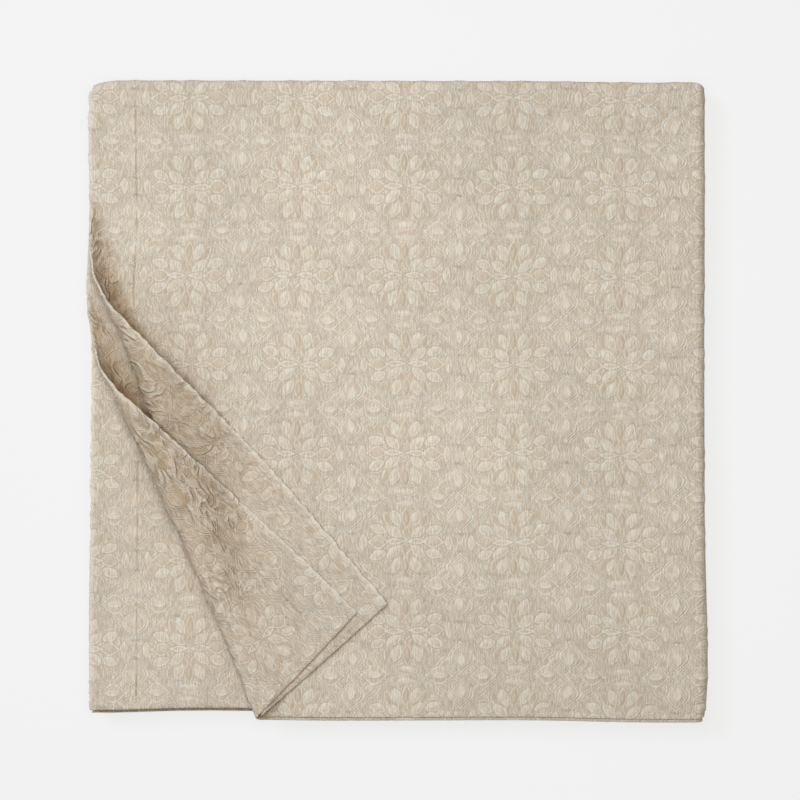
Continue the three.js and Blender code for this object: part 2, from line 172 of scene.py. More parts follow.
# Unevenness of the outline: places along an edge, and how far it stands out there
LEFT_OUT = ((-0.3144, 1.4), (-0.265, 0.9), (-0.1, 0.0), (0.045, -1.4), (0.1, 3.4), (0.17, 0.0),
            (0.3091, 1.2))
RIGHT_OUT = ((-0.3144, 1.2), (-0.265, 3.4), (-0.1, 0.4), (0.045, 0.0), (0.17, 0.4), (0.3091, 0.3))
NEAR_OUT = ((-0.2993, 0.8), (-0.19, -1.6), (-0.06, 0.2), (0.12, -0.2), (0.25, 2.0), (0.3003, 2.0))
FAR_OUT = ((-0.2993, 0.5), (-0.19, 0.4), (-0.06, 0.3), (0.12, 0.0), (0.25, -1.6), (0.3003, -1.0))
OUTLINE_CORNERS = (
    {"x": -0.3, "y": 0.31, "reach": 0.030, "pull": 0.0055},
    {"x": 0.3, "y": 0.31, "reach": 0.016, "pull": 0.0026},
    {"x": 0.3, "y": -0.312, "reach": 0.014, "pull": 0.0018},
    {"x": -0.3, "y": -0.312, "reach": 0.010, "pull": 0.0012},
)
# The lower cloth's near edge is drawn in at the left, and the stack swells in broad waves
LOWER_IN = 0.0065
LOWER_TOP = 0.0107
LOWER_FADE = 0.0014
LOWER_RIGHT = 0.06
SWELL = 0.025
SWELL_ACROSS = 0.13
SWELL_ALONG = 0.113
SWELL_START = 1.0
LOWER_SPREAD = 0.1
LOWER_REACH = 0.2

# Repeat of the woven pattern, from a medallion's middle to the next
REPEAT_X = 0.1050
REPEAT_Y = 0.0866
MEDALLION_X = -0.0975
MEDALLION_Y = 0.2052

# Forms of one quarter of the repeat, in millimetres from a medallion's middle, or from a star's.
# turn leans a form by degrees, puff is how far it swells, cream, blush and shade are its tones,
# edge is its outline's strength and echo how far inside it a second outline runs. The shade tone of
# the leaf and the inner leaf is painted shade beside the lobes.
FORMS = (
    {"name": "stem", "of": "medallion", "kind": "pod x", "x": 11, "y": 0, "a": 9, "b": 2.4,
     "puff": 0.2, "blush": 0.4, "edge": 1.0},
    {"name": "bud", "of": "medallion", "kind": "pod x", "x": 27, "y": 0, "a": 10.2, "b": 5.8,
     "puff": 0.5, "blush": 0.9, "edge": 0.9},
    {"name": "inner lobe", "of": "medallion", "kind": "lens x", "x": 12, "y": 9.4, "a": 8.6, "b": 3.9,
     "turn": 38, "puff": 0.6, "cream": 0.34, "edge": 0.7},
    {"name": "outer lobe", "of": "medallion", "kind": "lens y", "x": 9.8, "y": 22.8, "a": 4.1, "b": 8.2,
     "turn": -24, "puff": 0.6, "cream": 0.38, "edge": 0.7},
    {"name": "upright pod", "of": "medallion", "kind": "lens y", "x": 0, "y": 23.4, "a": 3.8, "b": 9.6,
     "puff": 0.6, "shade": 0.95, "edge": 0.4},
    {"name": "upright pod heart", "of": "medallion", "kind": "lens y", "x": 0, "y": 22.6, "a": 1.6, "b": 6,
     "puff": 0.2, "cream": 0.45},
    {"name": "side lobe", "of": "medallion", "kind": "lens x", "x": 27.4, "y": 12, "a": 8.0, "b": 4.0,
     "turn": 20, "puff": 0.55, "cream": 0.32, "edge": 0.7},
    # The leaf and the inner leaf paint the shade beside the lobes.
    {"name": "leaf", "of": "medallion", "kind": "lens y", "x": 17.9, "y": 21.5, "a": 3.0, "b": 7.4,
     "turn": -20, "puff": 0.35, "shade": 0.8, "edge": 0.3},
    {"name": "inner leaf", "of": "medallion", "kind": "lens y", "x": 4.6, "y": 12.2, "a": 2.6, "b": 5.4,
     "turn": 20, "puff": 0.3, "shade": 0.8, "edge": 0.3},
    {"name": "side leaf", "of": "medallion", "kind": "lens y", "x": 41.5, "y": 0, "a": 2.8, "b": 7.6,
     "puff": 0.3, "cream": 0.2, "edge": 0.6},
    {"name": "petal", "of": "star", "kind": "pod x", "x": 21.2, "y": 0, "a": 13.4, "b": 8.8,
     "puff": 0.55, "blush": 0.5, "edge": 1.0},
    {"name": "petal heart", "of": "star", "kind": "lens x", "x": 21.2, "y": 0, "a": 6, "b": 2.4,
     "puff": 0.25, "cream": 0.8, "edge": 0.9},
    {"name": "upright petal", "of": "star", "kind": "pod y", "x": 0, "y": 18.2, "a": 12.4, "b": 15,
     "puff": 0.6, "blush": 0.5, "edge": 1.0, "echo": -3.1},
    {"name": "upright heart", "of": "star", "kind": "lens y", "x": 0, "y": 16.2, "a": 3.2, "b": 6.6,
     "puff": 0.3, "cream": 0.9, "edge": 0.5},
    {"name": "star heart", "of": "star", "kind": "diamond", "x": 0, "y": 0, "a": 4.5, "b": 3.5,
     "puff": 0.2, "shade": 0.4, "edge": 0.4},
    {"name": "bar", "of": "star", "kind": "lens x", "x": 52.5, "y": 6, "a": 10, "b": 2.4,
     "puff": 0.3, "cream": 0.6},
    {"name": "wing", "of": "star", "kind": "lens x", "x": 15.4, "y": 12.6, "a": 8.4, "b": 2.6,
     "turn": -38, "puff": 0.3, "shade": 0.45, "edge": 0.35},
)
# Wavy lines of the ground, which follow the forms around them, with painted shade in the hollows
# between them: from line to line, how strong the lines and the painted shade are, how far out they
# start and reach, and what is left further off
CONTOUR_PITCH = 3.1
CONTOUR_LINE = 0.8
CONTOUR_PAINTED_SHADE = 0.42
CONTOUR_START = 0.8
CONTOUR_REACH = 9.0
CONTOUR_FAR = 0.4
# Painted shade in the groove around each form of a medallion: how far outside it, how wide and how strong
GROOVE_OUT = 1.7
GROOVE_WIDE = 1.5
GROOVE_PAINTED_SHADE = 0.65
TONES = ("cream", "blush", "shade")
FORM_EDGE = 1.35
FORM_SOFT = 0.9
FORM_BLEED = 0.3
FORM_FULL = 0.6
REVERSE_PUFF = 0.5
HIDDEN_PUFF = 0.5
HIDDEN_SEAM = 0.3
REVERSE_SEAM = 0.6
COVER_BEFORE = 0.4
UNDER_FADE = 0.006
REVERSE_SHIFT = 24 * REPEAT_X

# The weave: wobble of the pattern, and fineness of its threads, ribs and broad drift
POD_POWER = 1.8
END_SLOPE = 4.0
PUFF_SOFT = 0.7
WOBBLE = 0.9
WOBBLE_LONG = 23.0
WOBBLE_SHORT = 11.0
FRAY = 1.6
FRAY_SCALE = 260.0
STREAK_ACROSS = 800.0
STREAK_ALONG = 120.0
RIB_ACROSS = 260.0
RIB_ALONG = 1500.0
DRIFT_SCALE = 6.0
# Creases beside the rolls: slant, size, patches, waves and bend, which shape their relief, their painted
# valley shade and their painted crest highlights
CREASE_SLANT = 0.35
CREASE_ACROSS = 0.94
CREASE_SHORT = 42.0
CREASE_LONG = 80.0
CREASE_PATCH = 20.0
CREASE_WAVES = 3.6
CREASE_BEND = 0.9
# Painted highlight along the cloth's edges: how far in from the edge it reaches
RIM_PAINTED_HIGHLIGHT_WIDTH = 0.004
WARM_SHIFT = (37.0, 11.0, 0.0)
RIB_SHARE = 0.6
SEAM_LINE = (0.0004, 0.0014)
SEAM_BREAK_SCALE = (5.0, 42.0, 0.0)

# How much of each tone, of the painted shade and painted highlights, and of each kind of relief the cloth's
# material takes
WARM_SHARE = 0.75
BLUSH_SHARE = 0.55
SHADE_SHARE = 0.68
CREASE_PAINTED_SHADE_SHARE = 0.6
RIDGE_PAINTED_HIGHLIGHT_SHARE = 0.5
RIM_PAINTED_HIGHLIGHT_SHARE = 0.5
REVERSE_LINES = 0.7
HOLLOW_PAINTED_SHADE_SHARE = 0.6
CRINKLE_PAINTED_SHADE_SHARE = 0.35
THREAD_HIGH = 0.29
LINE_HIGH = (0.2, 0.42)
FORM_HIGH = (0.8, 0.7)
CREASE_HIGH = 0.85
SEAM_LOW = 0.35

# Fades of masks: from where to where, and what they give there where that isn't 0 and 1
LIGHT_FADE = (0.4, 0.6)
WARM_FADE = (0.4, 0.62)
PATCH_FADE = (0.35, 0.6, 0.25, 1.0)
VALLEY_FADE = (0.1, -0.9)
RIDGE_FADE = (0.3, 1.0)
SEAM_BREAK_FADE = (0.4, 0.6, 0.15, 0.8)
CREAM_FADE = (0.0, 1.0, 0.45, 0.68)
LINE_FADE = (0.0, 0.7, 0.45, 0.95)
DRIFT_FADE = (0.3, 0.7, 0.95, 1.03)

# Stitches of the left hem, and the runs of it that show, by their distance along the cloth
STITCH_PITCH = 0.004
STITCH_LENGTH = 0.0032
STITCH_SIDES = 5
WANDER_PER_METRE = 911.0
STITCH_RINGS = (
    {"along": -0.5, "wide": 0.3, "high": -0.45},
    {"along": -0.36, "wide": 1.0, "high": 0.1},
    {"along": 0.0, "wide": 1.1, "high": 0.25},
    {"along": 0.36, "wide": 1.0, "high": 0.1},
    {"along": 0.5, "wide": 0.3, "high": -0.45},
)

# Stage
FLOOR_SIZE = 8.0
FLOOR_SHADED = 0.12
STAGE_AIM = 0.03
KEY_PLACE = (-2.2, 1.6, 3.2)
KEY_SIZE = 1.3
KEY_TINT = (0.82, 0.90, 1.0)
OVERHEAD_PLACE = (-0.05, 0.08, 1.1)
OVERHEAD_SIZE = 0.5
OVERHEAD_TINT = (0.98, 0.965, 0.96)
# The even light around: its colour at the floor's level and overhead, and where it is full
SURROUND_LOW = (0.34, 0.28, 0.215, 1.0)
SURROUND_HIGH = (1.14, 1.05, 0.94, 1.0)
SURROUND_FULL = 0.7
SENSOR = 36.0
VIEW_WIDTH = 0.78
VIEW_MIDDLE = (0.00194, 0.00107)
VIEW_LEVEL = 0.038

# Mesh: spacing where the cloth shows from above, and elsewhere
FINE = 0.0030
CORNER_FINE = 0.0032
SIDE_FINE = 0.0065
COARSE = 0.036
BEND_STEPS = 8
RIM_STEPS = 4
CORNER_ACROSS = 0.175
CORNER_ALONG = 0.42
THIRD_ALONG = 0.36
MM = 0.001

# The map range node's first input for vectors
FIRST_VECTOR_INPUT = 6


def smooth(t):
    c = np.clip(t, 0.0, 1.0)
    return c * c * (3 - 2 * c)


class FoldPath:
    """A path of runs and bends in one plane."""

    def __init__(self, rows, start):
        self.parts = []
        (x, z), heading, begin = start, 0.0, 0.0
        for row in rows:
            side = np.sign(row.get("turn", 0))
            radius = row.get("radius", 1.0)
            span = row.get("run", abs(row.get("turn", 0)) * math.pi * radius)
            part = {"name": row["name"], "side": side, "radius": radius, "span": span,
                    "from": begin, "x": x, "z": z, "heading": heading}
            self.parts.append(part)
            x, z, _, _ = self.along(part, np.array([span]))
            x, z = float(x[0]), float(z[0])
            heading += row.get("turn", 0) * math.pi
            begin += span
        self.length = begin
        self.stops = np.array([part["from"] for part in self.parts])

    @staticmethod
    def along(part, s):
        heading = part["heading"]
        if part["side"] == 0:
            flat = np.ones_like(s)
            return (part["x"] + s * math.cos(heading), part["z"] + s * math.sin(heading),
                    -math.sin(heading) * flat, math.cos(heading) * flat)
        reach = part["side"] * part["radius"]
        turned = heading + s / reach
        nx, nz = -np.sin(turned), np.cos(turned)
        x = part["x"] + reach * (-math.sin(heading) - nx)
        z = part["z"] + reach * (math.cos(heading) - nz)
        return x, z, nx, nz

    def part_index(self, s):
        return np.clip(np.searchsorted(self.stops, s + 1e-9, side="right") - 1, 0, len(self.parts) - 1)

    def at(self, s):
        """Place and left-hand normal at each distance along the path."""
        found = self.part_index(s)
        out = np.zeros((4, len(s)))
        for i, part in enumerate(self.parts):
            here = found == i
            if here.any():
                out[:, here] = self.along(part, s[here] - part["from"])
        return out


LENGTH_PATH = FoldPath(LENGTH_FOLDS, (FIRST_END, 1.5 * LAYER_PITCH))
WIDTH_PATH = FoldPath(WIDTH_FOLDS, (LEFT_EDGE, 1.5 * PACK_PITCH))
TOP_SPAN = WIDTH_PATH.parts[0]["span"]
THIRD_FROM = LENGTH_PATH.parts[4]["from"]
BOTTOM_FROM = WIDTH_PATH.parts[4]["from"]
STITCH_RUNS = (
    {"side": 1, "from": END_HEM, "to": LENGTH_PATH.parts[1]["from"]},
    {"side": -1, "from": END_HEM, "to": CORNER_ALONG},
    {"side": 1, "from": THIRD_FROM, "to": THIRD_FROM + THIRD_ALONG},
    {"side": 1, "from": LENGTH_PATH.length - CORNER_ALONG, "to": LENGTH_PATH.length - END_HEM},
    {"side": -1, "from": LENGTH_PATH.length - CORNER_ALONG, "to": LENGTH_PATH.length - END_HEM},
)


class Flap:
    """One turned-back corner, in the axes of its roll."""

    def __init__(self, corner):
        self.upper = np.array(corner["upper"])
        run = np.array(corner["lower"]) - self.upper
        self.length = float(np.hypot(*run))
        self.down = run / self.length
        self.out = np.array([self.down[1], -self.down[0]])
        self.radii = corner["radii"]
        self.tightens = corner["tightens"]
        self.calm = corner["calm"]
        self.bow = corner["bow"]
        flat = self.place(np.array([LEFT_EDGE]), np.array([corner["end"]]))
        rest = self.place(np.array([corner["tip"][0]]), np.array([corner["tip"][1]]))
        back = flat["beyond"] - math.pi * flat["radius"]
        self.narrow = float(((flat["out"] - flat["beyond"] - rest["out"]) / back)[0])
        self.skew = float(((rest["along"] - flat["along"]) / back)[0])

    def place(self, x, y):
        rx, ry = x - self.upper[0], y - self.upper[1]
        along = rx * self.down[0] + ry * self.down[1]
        t = along / self.length
        tight = smooth((t - self.tightens[0]) / self.tightens[1])
        radius = self.radii[0] + (self.radii[1] - self.radii[0]) * tight
        out = rx * self.out[0] + ry * self.out[1]
        bow = 4 * self.bow * np.clip(t, 0, 1) * (1 - np.clip(t, 0, 1))
        return {"along": along, "out": out, "radius": radius, "beyond": out + radius + bow}

    def plan(self, along, out):
        return (self.upper[0] + along * self.down[0] + out * self.out[0],
                self.upper[1] + along * self.down[1] + out * self.out[1])


FIRST_FLAP = Flap(FIRST_CORNER)
SECOND_FLAP = Flap(SECOND_CORNER)


def first_flap_height(x, y):
    """Height of the first corner's cloth over the first layer: its roll's top, falling to its rest."""
    place = FIRST_FLAP.place(x, y)
    back = np.maximum(-place["beyond"], 0) / FIRST_FLAP.narrow
    fallen = smooth(back / (FALL_IN_RADII * place["radius"]))
    return FLAP_REST + (2 * place["radius"] - FLAP_REST) * (1 - fallen)


def flap_height(flap, radius, x, y, back):
    if flap is FIRST_FLAP:
        return first_flap_height(x, y)
    over = LAYER_PITCH + first_flap_height(x, y) + FLAP_REST
    return over + (2 * radius - over) * (1 - smooth(back / (SETTLE_IN_RADII * radius)))


def turn_back(flap, x, y, z, rise):
    """Rolls points of an upper layer back over the roll's line."""
    place = flap.place(x, y)
    radius, beyond = place["radius"], place["beyond"]
    angle = np.clip(beyond / radius, 0, math.pi)
    back = np.maximum(beyond - math.pi * radius, 0)
    out = place["out"] - beyond + radius * np.sin(angle) - flap.narrow * back
    along = place["along"] + flap.skew * back
    lift = radius * (1 - np.cos(angle))
    lift = np.where(back > 0, flap_height(flap, radius, *flap.plan(along, out), back), lift)
    px, py = flap.plan(along, out - rise * np.sin(angle))
    rolled = beyond > 0
    return (np.where(rolled, px, x), np.where(rolled, py, y),
            np.where(rolled, z + lift + rise * np.cos(angle), z + rise))


def fold_cloth(u, v, rise):
    """Folded places of flat points of the cloth, rise off its middle towards its face."""
    y, level, ny, nz = LENGTH_PATH.at(v)
    cx, cz, nx, nzz = WIDTH_PATH.at(u)
    height = level + rise * nz
    px, py, pz = cx + height * nx, y + rise * ny, cz + height * nzz
    for flap, layer in ((FIRST_FLAP, 0), (SECOND_FLAP, 6)):
        here = (u <= TOP_SPAN + 1e-9) & (LENGTH_PATH.part_index(v) == layer)
        if here.any():
            px[here], py[here], pz[here] = turn_back(
                flap, cx[here], y[here], (cz + level)[here], (rise * np.sign(nz))[here])
    return make_uneven(px, py, pz)


def out_at(rows, place):
    at = np.array([row[0] for row in rows])
    out = np.array([row[1] for row in rows]) * MM
    i = np.clip(np.searchsorted(at, place) - 1, 0, len(at) - 2)
    t = smooth((place - at[i]) / (at[i + 1] - at[i]))
    return out[i] + (out[i + 1] - out[i]) * t


def make_uneven(x, y, z):
    """Shifts points of the neat fold to their uneven places; the underside stays flat."""
    right = (x - LEFT_EDGE) / (RIGHT_EDGE - LEFT_EDGE)
    far = (y - FIRST_END) / (FAR_EDGE - FIRST_END)
    px = x + out_at(RIGHT_OUT, y) * right - out_at(LEFT_OUT, y) * (1 - right)
    py = y + out_at(FAR_OUT, x) * far - out_at(NEAR_OUT, x) * (1 - far)
    for corner in OUTLINE_CORNERS:
        near_x = 1 - np.minimum(1, np.abs(x - corner["x"]) / corner["reach"])
        near_y = 1 - np.minimum(1, np.abs(y - corner["y"]) / corner["reach"])
        pull = corner["pull"] * (near_x * near_y) ** 2
        px -= pull * np.sign(corner["x"])
        py -= pull * np.sign(corner["y"])
    lower = smooth((LOWER_TOP - z) / LOWER_FADE) * smooth((LOWER_RIGHT - x) / LOWER_SPREAD)
    py += LOWER_IN * lower * smooth(-y / LOWER_REACH)
    wave = np.sin(x / SWELL_ACROSS + SWELL_START) * np.cos(y / SWELL_ALONG)
    pz = (z + STACK_HALF) * (1 + SWELL * wave)
    return np.stack([px, py, pz], axis=1)


def depth_in_form(form, x, y):
    """How far in a point lies from a form's edge, in millimetres, below zero outside it."""
    turn = math.radians(form.get("turn", 0))
    dx, dy = x - form["x"], y - form["y"]
    ax = np.abs(dx * math.cos(turn) + dy * math.sin(turn)) / form["a"]
    ay = np.abs(dy * math.cos(turn) - dx * math.sin(turn)) / form["b"]
    if form["kind"] == "diamond":
        return (1 - ax - ay) * form["a"] * form["b"] / math.hypot(form["a"], form["b"])
    if form["kind"].endswith("y"):
        ax, ay = ay, ax
    wide = min(form["a"], form["b"])
    power = POD_POWER if form["kind"].startswith("pod") else 1.0
    past = END_SLOPE * np.maximum(ax - 1, 0)
    return (np.clip(1 - ax * ax, 0, 1) ** power - ay - past) * wide


def puff_at(u, v):
    """Swelling of the woven pattern at flat points."""
    x = (LEFT_EDGE + u - MEDALLION_X) / MM
    y = (FIRST_END + v - MEDALLION_Y) / MM
    x, y = (x + WOBBLE * np.sin(y / WOBBLE_LONG + np.sin(x / WOBBLE_SHORT)),
            y + WOBBLE * np.sin(x / WOBBLE_LONG + np.sin(y / WOBBLE_SHORT)))
    rx, ry = REPEAT_X / MM, REPEAT_Y / MM
    fx, fy = np.abs(x - rx * np.round(x / rx)), np.abs(y - ry * np.round(y / ry))
    high = np.zeros_like(u)
    for form in FORMS:
        star = form["of"] == "star"
        px, py = (rx / 2 - fx, ry / 2 - fy) if star else (fx, fy)
        depth = depth_in_form(form, px, py)
        soft = PUFF_SOFT * min(form["a"], form["b"])
        high = np.maximum(high, form.get("puff", 0) * smooth(depth / soft))
    return high * MM


def wave_along(wave, run, slow_run, shift=0.0):
    """A wave along a run, which a second, slower one speeds up and slows down."""
    slow = wave["swing"] * np.sin(slow_run / wave["slow"])
    return wave["high"] * np.sin(run / wave["length"] + slow + shift)


def near_roll(rows, beyond):
    """How much a point counts as beside a roll: when it starts, and when it fades past the roll."""
    starts = smooth((beyond + rows["before"]) / rows["soft"])
    return starts, 1 - smooth((beyond - rows["reach"]) / rows["reach"])


def bend_ripple(flap, place):
    """Small creases that gather across a corner's roll where the cloth bends."""
    along, out = place["along"], place["out"]
    starts, ends = near_roll(RIPPLES, place["beyond"])
    upper = 1 - smooth((along / flap.length - RIPPLES_FADE[0]) / RIPPLES_FADE[1])
    ripple = wave_along(RIPPLE, along, along, out / RIPPLE_SLANT) + wave_along(FINE_RIPPLE, along, out)
    return starts * ends * (RIPPLES_CALM + (1 - RIPPLES_CALM) * upper) * ripple


def hem_at(u):
    edge = np.minimum(u, WIDTH_PATH.length - u)
    return 1 - np.clip((edge - SIDE_HEM) / HEM_STEP, 0, 1)


def end_hem_at(v):
    edge = np.minimum(v, LENGTH_PATH.length - v)
    return 1 - np.clip((edge - END_HEM) / HEM_STEP, 0, 1)


def seam_at(u, v):
    """Depth of the sewn lines of the hems, uneven along their run."""
    side = np.abs(np.minimum(u, WIDTH_PATH.length - u) - SIDE_HEM)
    end = np.abs(np.minimum(v, LENGTH_PATH.length - v) - END_HEM)
    uneven = 1 - SEAM_WAVE["high"] + wave_along(SEAM_WAVE, v, v)
    along_end = 0.5 + 0.2 * np.sin(u / END_SEAM_LENGTH)
    return SEAM_DEPTH * np.maximum((1 - smooth(side / SEAM_HALF)) * uneven,
                                   (1 - smooth(end / SEAM_HALF)) * along_end)


def flap_turns(u, v):
    """How far a point of a turned layer lies past its roll's start, in radii, and its ripple."""
    turns = np.full(len(u), -9.0)
    ripple = np.zeros(len(u))
    x, y = LEFT_EDGE + u, LENGTH_PATH.at(v)[0]
    for flap, layer in ((FIRST_FLAP, 0), (SECOND_FLAP, 6)):
        here = (u <= TOP_SPAN) & (LENGTH_PATH.part_index(v) == layer)
        if here.any():
            place = flap.place(x[here], y[here])
            turns[here] = place["beyond"] / place["radius"]
            ripple[here] = bend_ripple(flap, place)
    return turns, ripple


def face_rise(u, v, settings):
    """Rise of the face over the cloth's middle: its puffed pattern, sewn lines and ripples."""
    turns, _ = flap_turns(u, v)
    layer = LENGTH_PATH.part_index(v)
    outside = (layer <= 1) * (1 - smooth((u - BOTTOM_FROM + UNDER_FADE) / UNDER_FADE))
    beside = HIDDEN_PUFF * (((layer == 4) | (layer == 6)) & (u < CORNER_ACROSS))
    covered = (layer == 0) * smooth(turns + COVER_BEFORE)
    open_face = np.maximum(outside * (1 - covered), beside)
    puff = puff_at(u, v) / (FORM_FULL * MM) * settings.puff * open_face
    return settings.thickness / 2 + puff - seam_at(u, v) * (HIDDEN_SEAM + (1 - HIDDEN_SEAM) * open_face)


def reverse_rise(u, v, settings):
    turns, _ = flap_turns(u, v)
    hem = np.maximum(hem_at(u), end_hem_at(v))
    seen = smooth(turns / 2)
    puff = puff_at(u, v) / (FORM_FULL * MM) * REVERSE_PUFF * settings.puff * seen
    return -(settings.thickness / 2 + HEM_RISE * hem + puff - seam_at(u, v) * REVERSE_SEAM * seen)


def line_steps(path, extra):
    """Stops where runs, bends and finer windows meet."""
    stops = {0.0, path.length, *(part["from"] for part in path.parts), *extra}
    return sorted(stops)


def macro_lines():
    wide, long = WIDTH_PATH.length, LENGTH_PATH.length
    hems = [SIDE_HEM - SEAM_HALF, SIDE_HEM, SIDE_HEM + HEM_STEP, SIDE_HEM + SEAM_HALF]
    across = line_steps(WIDTH_PATH, [*hems, *(wide - h for h in hems), CORNER_ACROSS])
    ends = [END_HEM - SEAM_HALF, END_HEM, END_HEM + SEAM_HALF]
    third_stop = THIRD_FROM + THIRD_ALONG
    second_stop = long - CORNER_ALONG
    along = line_steps(LENGTH_PATH, [*ends, *(long - e for e in ends), CORNER_ALONG, third_stop, second_stop])
    return across, along


def spacing_at(side, u, v):
    """Mesh spacing wanted around a flat point on one side of the cloth."""
    layer = int(LENGTH_PATH.part_index(np.array([v]))[0])
    panel = int(WIDTH_PATH.part_index(np.array([u]))[0])
    corner = u < CORNER_ACROSS
    if panel == 0 and layer == 0 and side > 0:
        return FINE
    if layer == 0 and corner and v < CORNER_ALONG:
        return CORNER_FINE
    if layer == 6 and corner and v > LENGTH_PATH.length - CORNER_ALONG:
        return CORNER_FINE
    if layer == 4 and corner and v < THIRD_FROM + THIRD_ALONG and side > 0:
        return CORNER_FINE
    if side > 0 and layer <= 1 and panel <= 3:
        return SIDE_FINE
    return COARSE


def steps_in(path, start, stop, spacing):
    part = path.parts[int(path.part_index(np.array([(start + stop) / 2]))[0])]
    if part["side"] != 0:
        return BEND_STEPS if part["radius"] > 2 * CLOTH else BEND_STEPS // 2
    return max(1, math.ceil((stop - start) / spacing - 0.01))


def side_cells(side):
    """Corners of the cells of one side: flat points and the four corner numbers of each cell."""
    across, along = macro_lines()
    points, quads, count = [], [], 0
    for u0, u1 in zip(across, across[1:]):
        for v0, v1 in zip(along, along[1:]):
            spacing = spacing_at(side, (u0 + u1) / 2, (v0 + v1) / 2)
            nu, nv = steps_in(WIDTH_PATH, u0, u1, spacing), steps_in(LENGTH_PATH, v0, v1, spacing)
            us, vs = np.linspace(u0, u1, nu + 1), np.linspace(v0, v1, nv + 1)
            grid = np.stack(np.meshgrid(us, vs, indexing="ij"), axis=-1).reshape(-1, 2)
            i, j = np.meshgrid(np.arange(nu), np.arange(nv), indexing="ij")
            first = (count + i * (nv + 1) + j).ravel()
            quads.append(np.stack([first, first + nv + 1, first + nv + 2, first + 1], axis=1))
            points.append(grid)
            count += len(grid)
    return np.concatenate(points), np.concatenate(quads)


def merged(points, quads):
    keys = np.round(points / 1e-7).astype(np.int64)
    _, first, number = np.unique(keys, axis=0, return_index=True, return_inverse=True)
    return points[first], number.ravel()[quads]


def share_border_points(points, quads):
    """Cells as rings of corners, with their neighbours' corners on the borders between windows."""
    across, along = macro_lines()
    on_line = {}
    for axis, lines in ((0, across), (1, along)):
        for line in lines:
            found = np.nonzero(np.abs(points[:, axis] - line) < 1e-8)[0]
            order = found[np.argsort(points[found, 1 - axis])]
            on_line[axis, round(line, 7)] = (points[order, 1 - axis], order)
    a, c = points[quads[:, 0]], points[quads[:, 2]]
    border = np.zeros(len(quads), bool)
    for axis, lines in ((0, across), (1, along)):
        for line in lines:
            border |= (np.abs(a[:, axis] - line) < 1e-8) | (np.abs(c[:, axis] - line) < 1e-8)
    rings = [tuple(q) for q in quads[~border].tolist()]
    for quad in quads[border].tolist():
        ring = []
        for p, q in zip(quad, quad[1:] + quad[:1]):
            ring.append(p)
            start, stop = points[p], points[q]
            axis = 0 if abs(start[0] - stop[0]) < 1e-9 else 1
            line = on_line.get((axis, round(float(start[axis]), 7)))
            if line is None:
                continue
            low, high = sorted((start[1 - axis], stop[1 - axis]))
            i, j = np.searchsorted(line[0], [low + 1e-8, high - 1e-8])
            between = line[1][i:j].tolist()
            ring.extend(between if start[1 - axis] < stop[1 - axis] else between[::-1])
        rings.append(tuple(ring))
    return rings


def rim_points(points):
    """Flat points on the cloth's rim, in order around it."""
    wide, long = WIDTH_PATH.length, LENGTH_PATH.length
    u, v = points[:, 0], points[:, 1]
    sides = (
        (np.abs(v) < 1e-9, u), (np.abs(u - wide) < 1e-9, v),
        (np.abs(v - long) < 1e-9, -u), (np.abs(u) < 1e-9, -v),
    )
    order = []
    for on_side, key in sides:
        found = np.nonzero(on_side)[0]
        order.extend(found[np.argsort(key[found])][:-1].tolist())
    return order


def cloth_mesh(settings):
    """Vertices, faces and flat places of the folded cloth, closed around its rim."""
    sides = {side: side_cells(side) for side in (1, -1)}
    wide, long = WIDTH_PATH.length, LENGTH_PATH.length
    rims = []
    for points, _ in sides.values():
        on_rim = (points[:, 0] < 1e-9) | (points[:, 1] < 1e-9)
        on_rim |= (points[:, 0] > wide - 1e-9) | (points[:, 1] > long - 1e-9)
        rims.append(points[on_rim])
    rim_extra = np.concatenate(rims)
    places, flats, faces, rim_rows, side_ends, count = [], [], [], [], [], 0
    for side, (points, quads) in sides.items():
        points, quads = merged(np.concatenate([points, rim_extra]), quads)
        rings = share_border_points(points, quads)
        u, v = points[:, 0], points[:, 1]
        rise = face_rise(u, v, settings) if side > 0 else reverse_rise(u, v, settings)
        places.append(fold_cloth(u + edge_wave(u, v), v, rise + bend_shift(u, v)))
        flats.append(points)
        step = 1 if side > 0 else -1
        faces.extend(tuple(n + count for n in ring[::step]) for ring in rings)
        side_ends.append(len(faces))
        rim_rows.append([n + count for n in rim_points(points)])
        if side > 0:
            rim_flat = points[rim_points(points)]
            rim_high = rise[rim_points(points)]
        else:
            rim_low = rise[rim_points(points)]
        count += len(points)
    rows = [rim_rows[0]]
    for step in range(1, RIM_STEPS):
        angle = math.pi * step / RIM_STEPS
        middle, half = (rim_high + rim_low) / 2, (rim_high - rim_low) / 2
        u, v = rim_flat[:, 0], rim_flat[:, 1]
        push = half * math.sin(angle)
        pu = u + edge_wave(u, v) + push * ((u > wide - 1e-9).astype(float) - (u < 1e-9))
        pv = v + push * ((v > long - 1e-9).astype(float) - (v < 1e-9))
        places.append(fold_cloth(pu, pv, middle + half * math.cos(angle) + bend_shift(u, v)))
        flats.append(np.stack([u, v], axis=1))
        rows.append(list(range(count, count + len(u))))
        count += len(u)
    rows.append(rim_rows[1])
    for upper, lower in zip(rows, rows[1:]):
        for i in range(len(upper)):
            j = (i + 1) % len(upper)
            faces.append((upper[i], lower[i], lower[j], upper[j]))
    return np.concatenate(places), faces, np.concatenate(flats), side_ends


def edge_wave(u, v):
    """How far the left side hem's edge is drawn in or out along its length."""
    wave = wave_along(EDGE_WAVE, v, v) + wave_along(EDGE_SWAY, v, v, 1.0)
    return wave * np.exp(-u / EDGE_WAVE_REACH)


def bend_shift(u, v):
    """Shift of the whole cloth where creases gather at the rolls."""
    return flap_turns(u, v)[1]


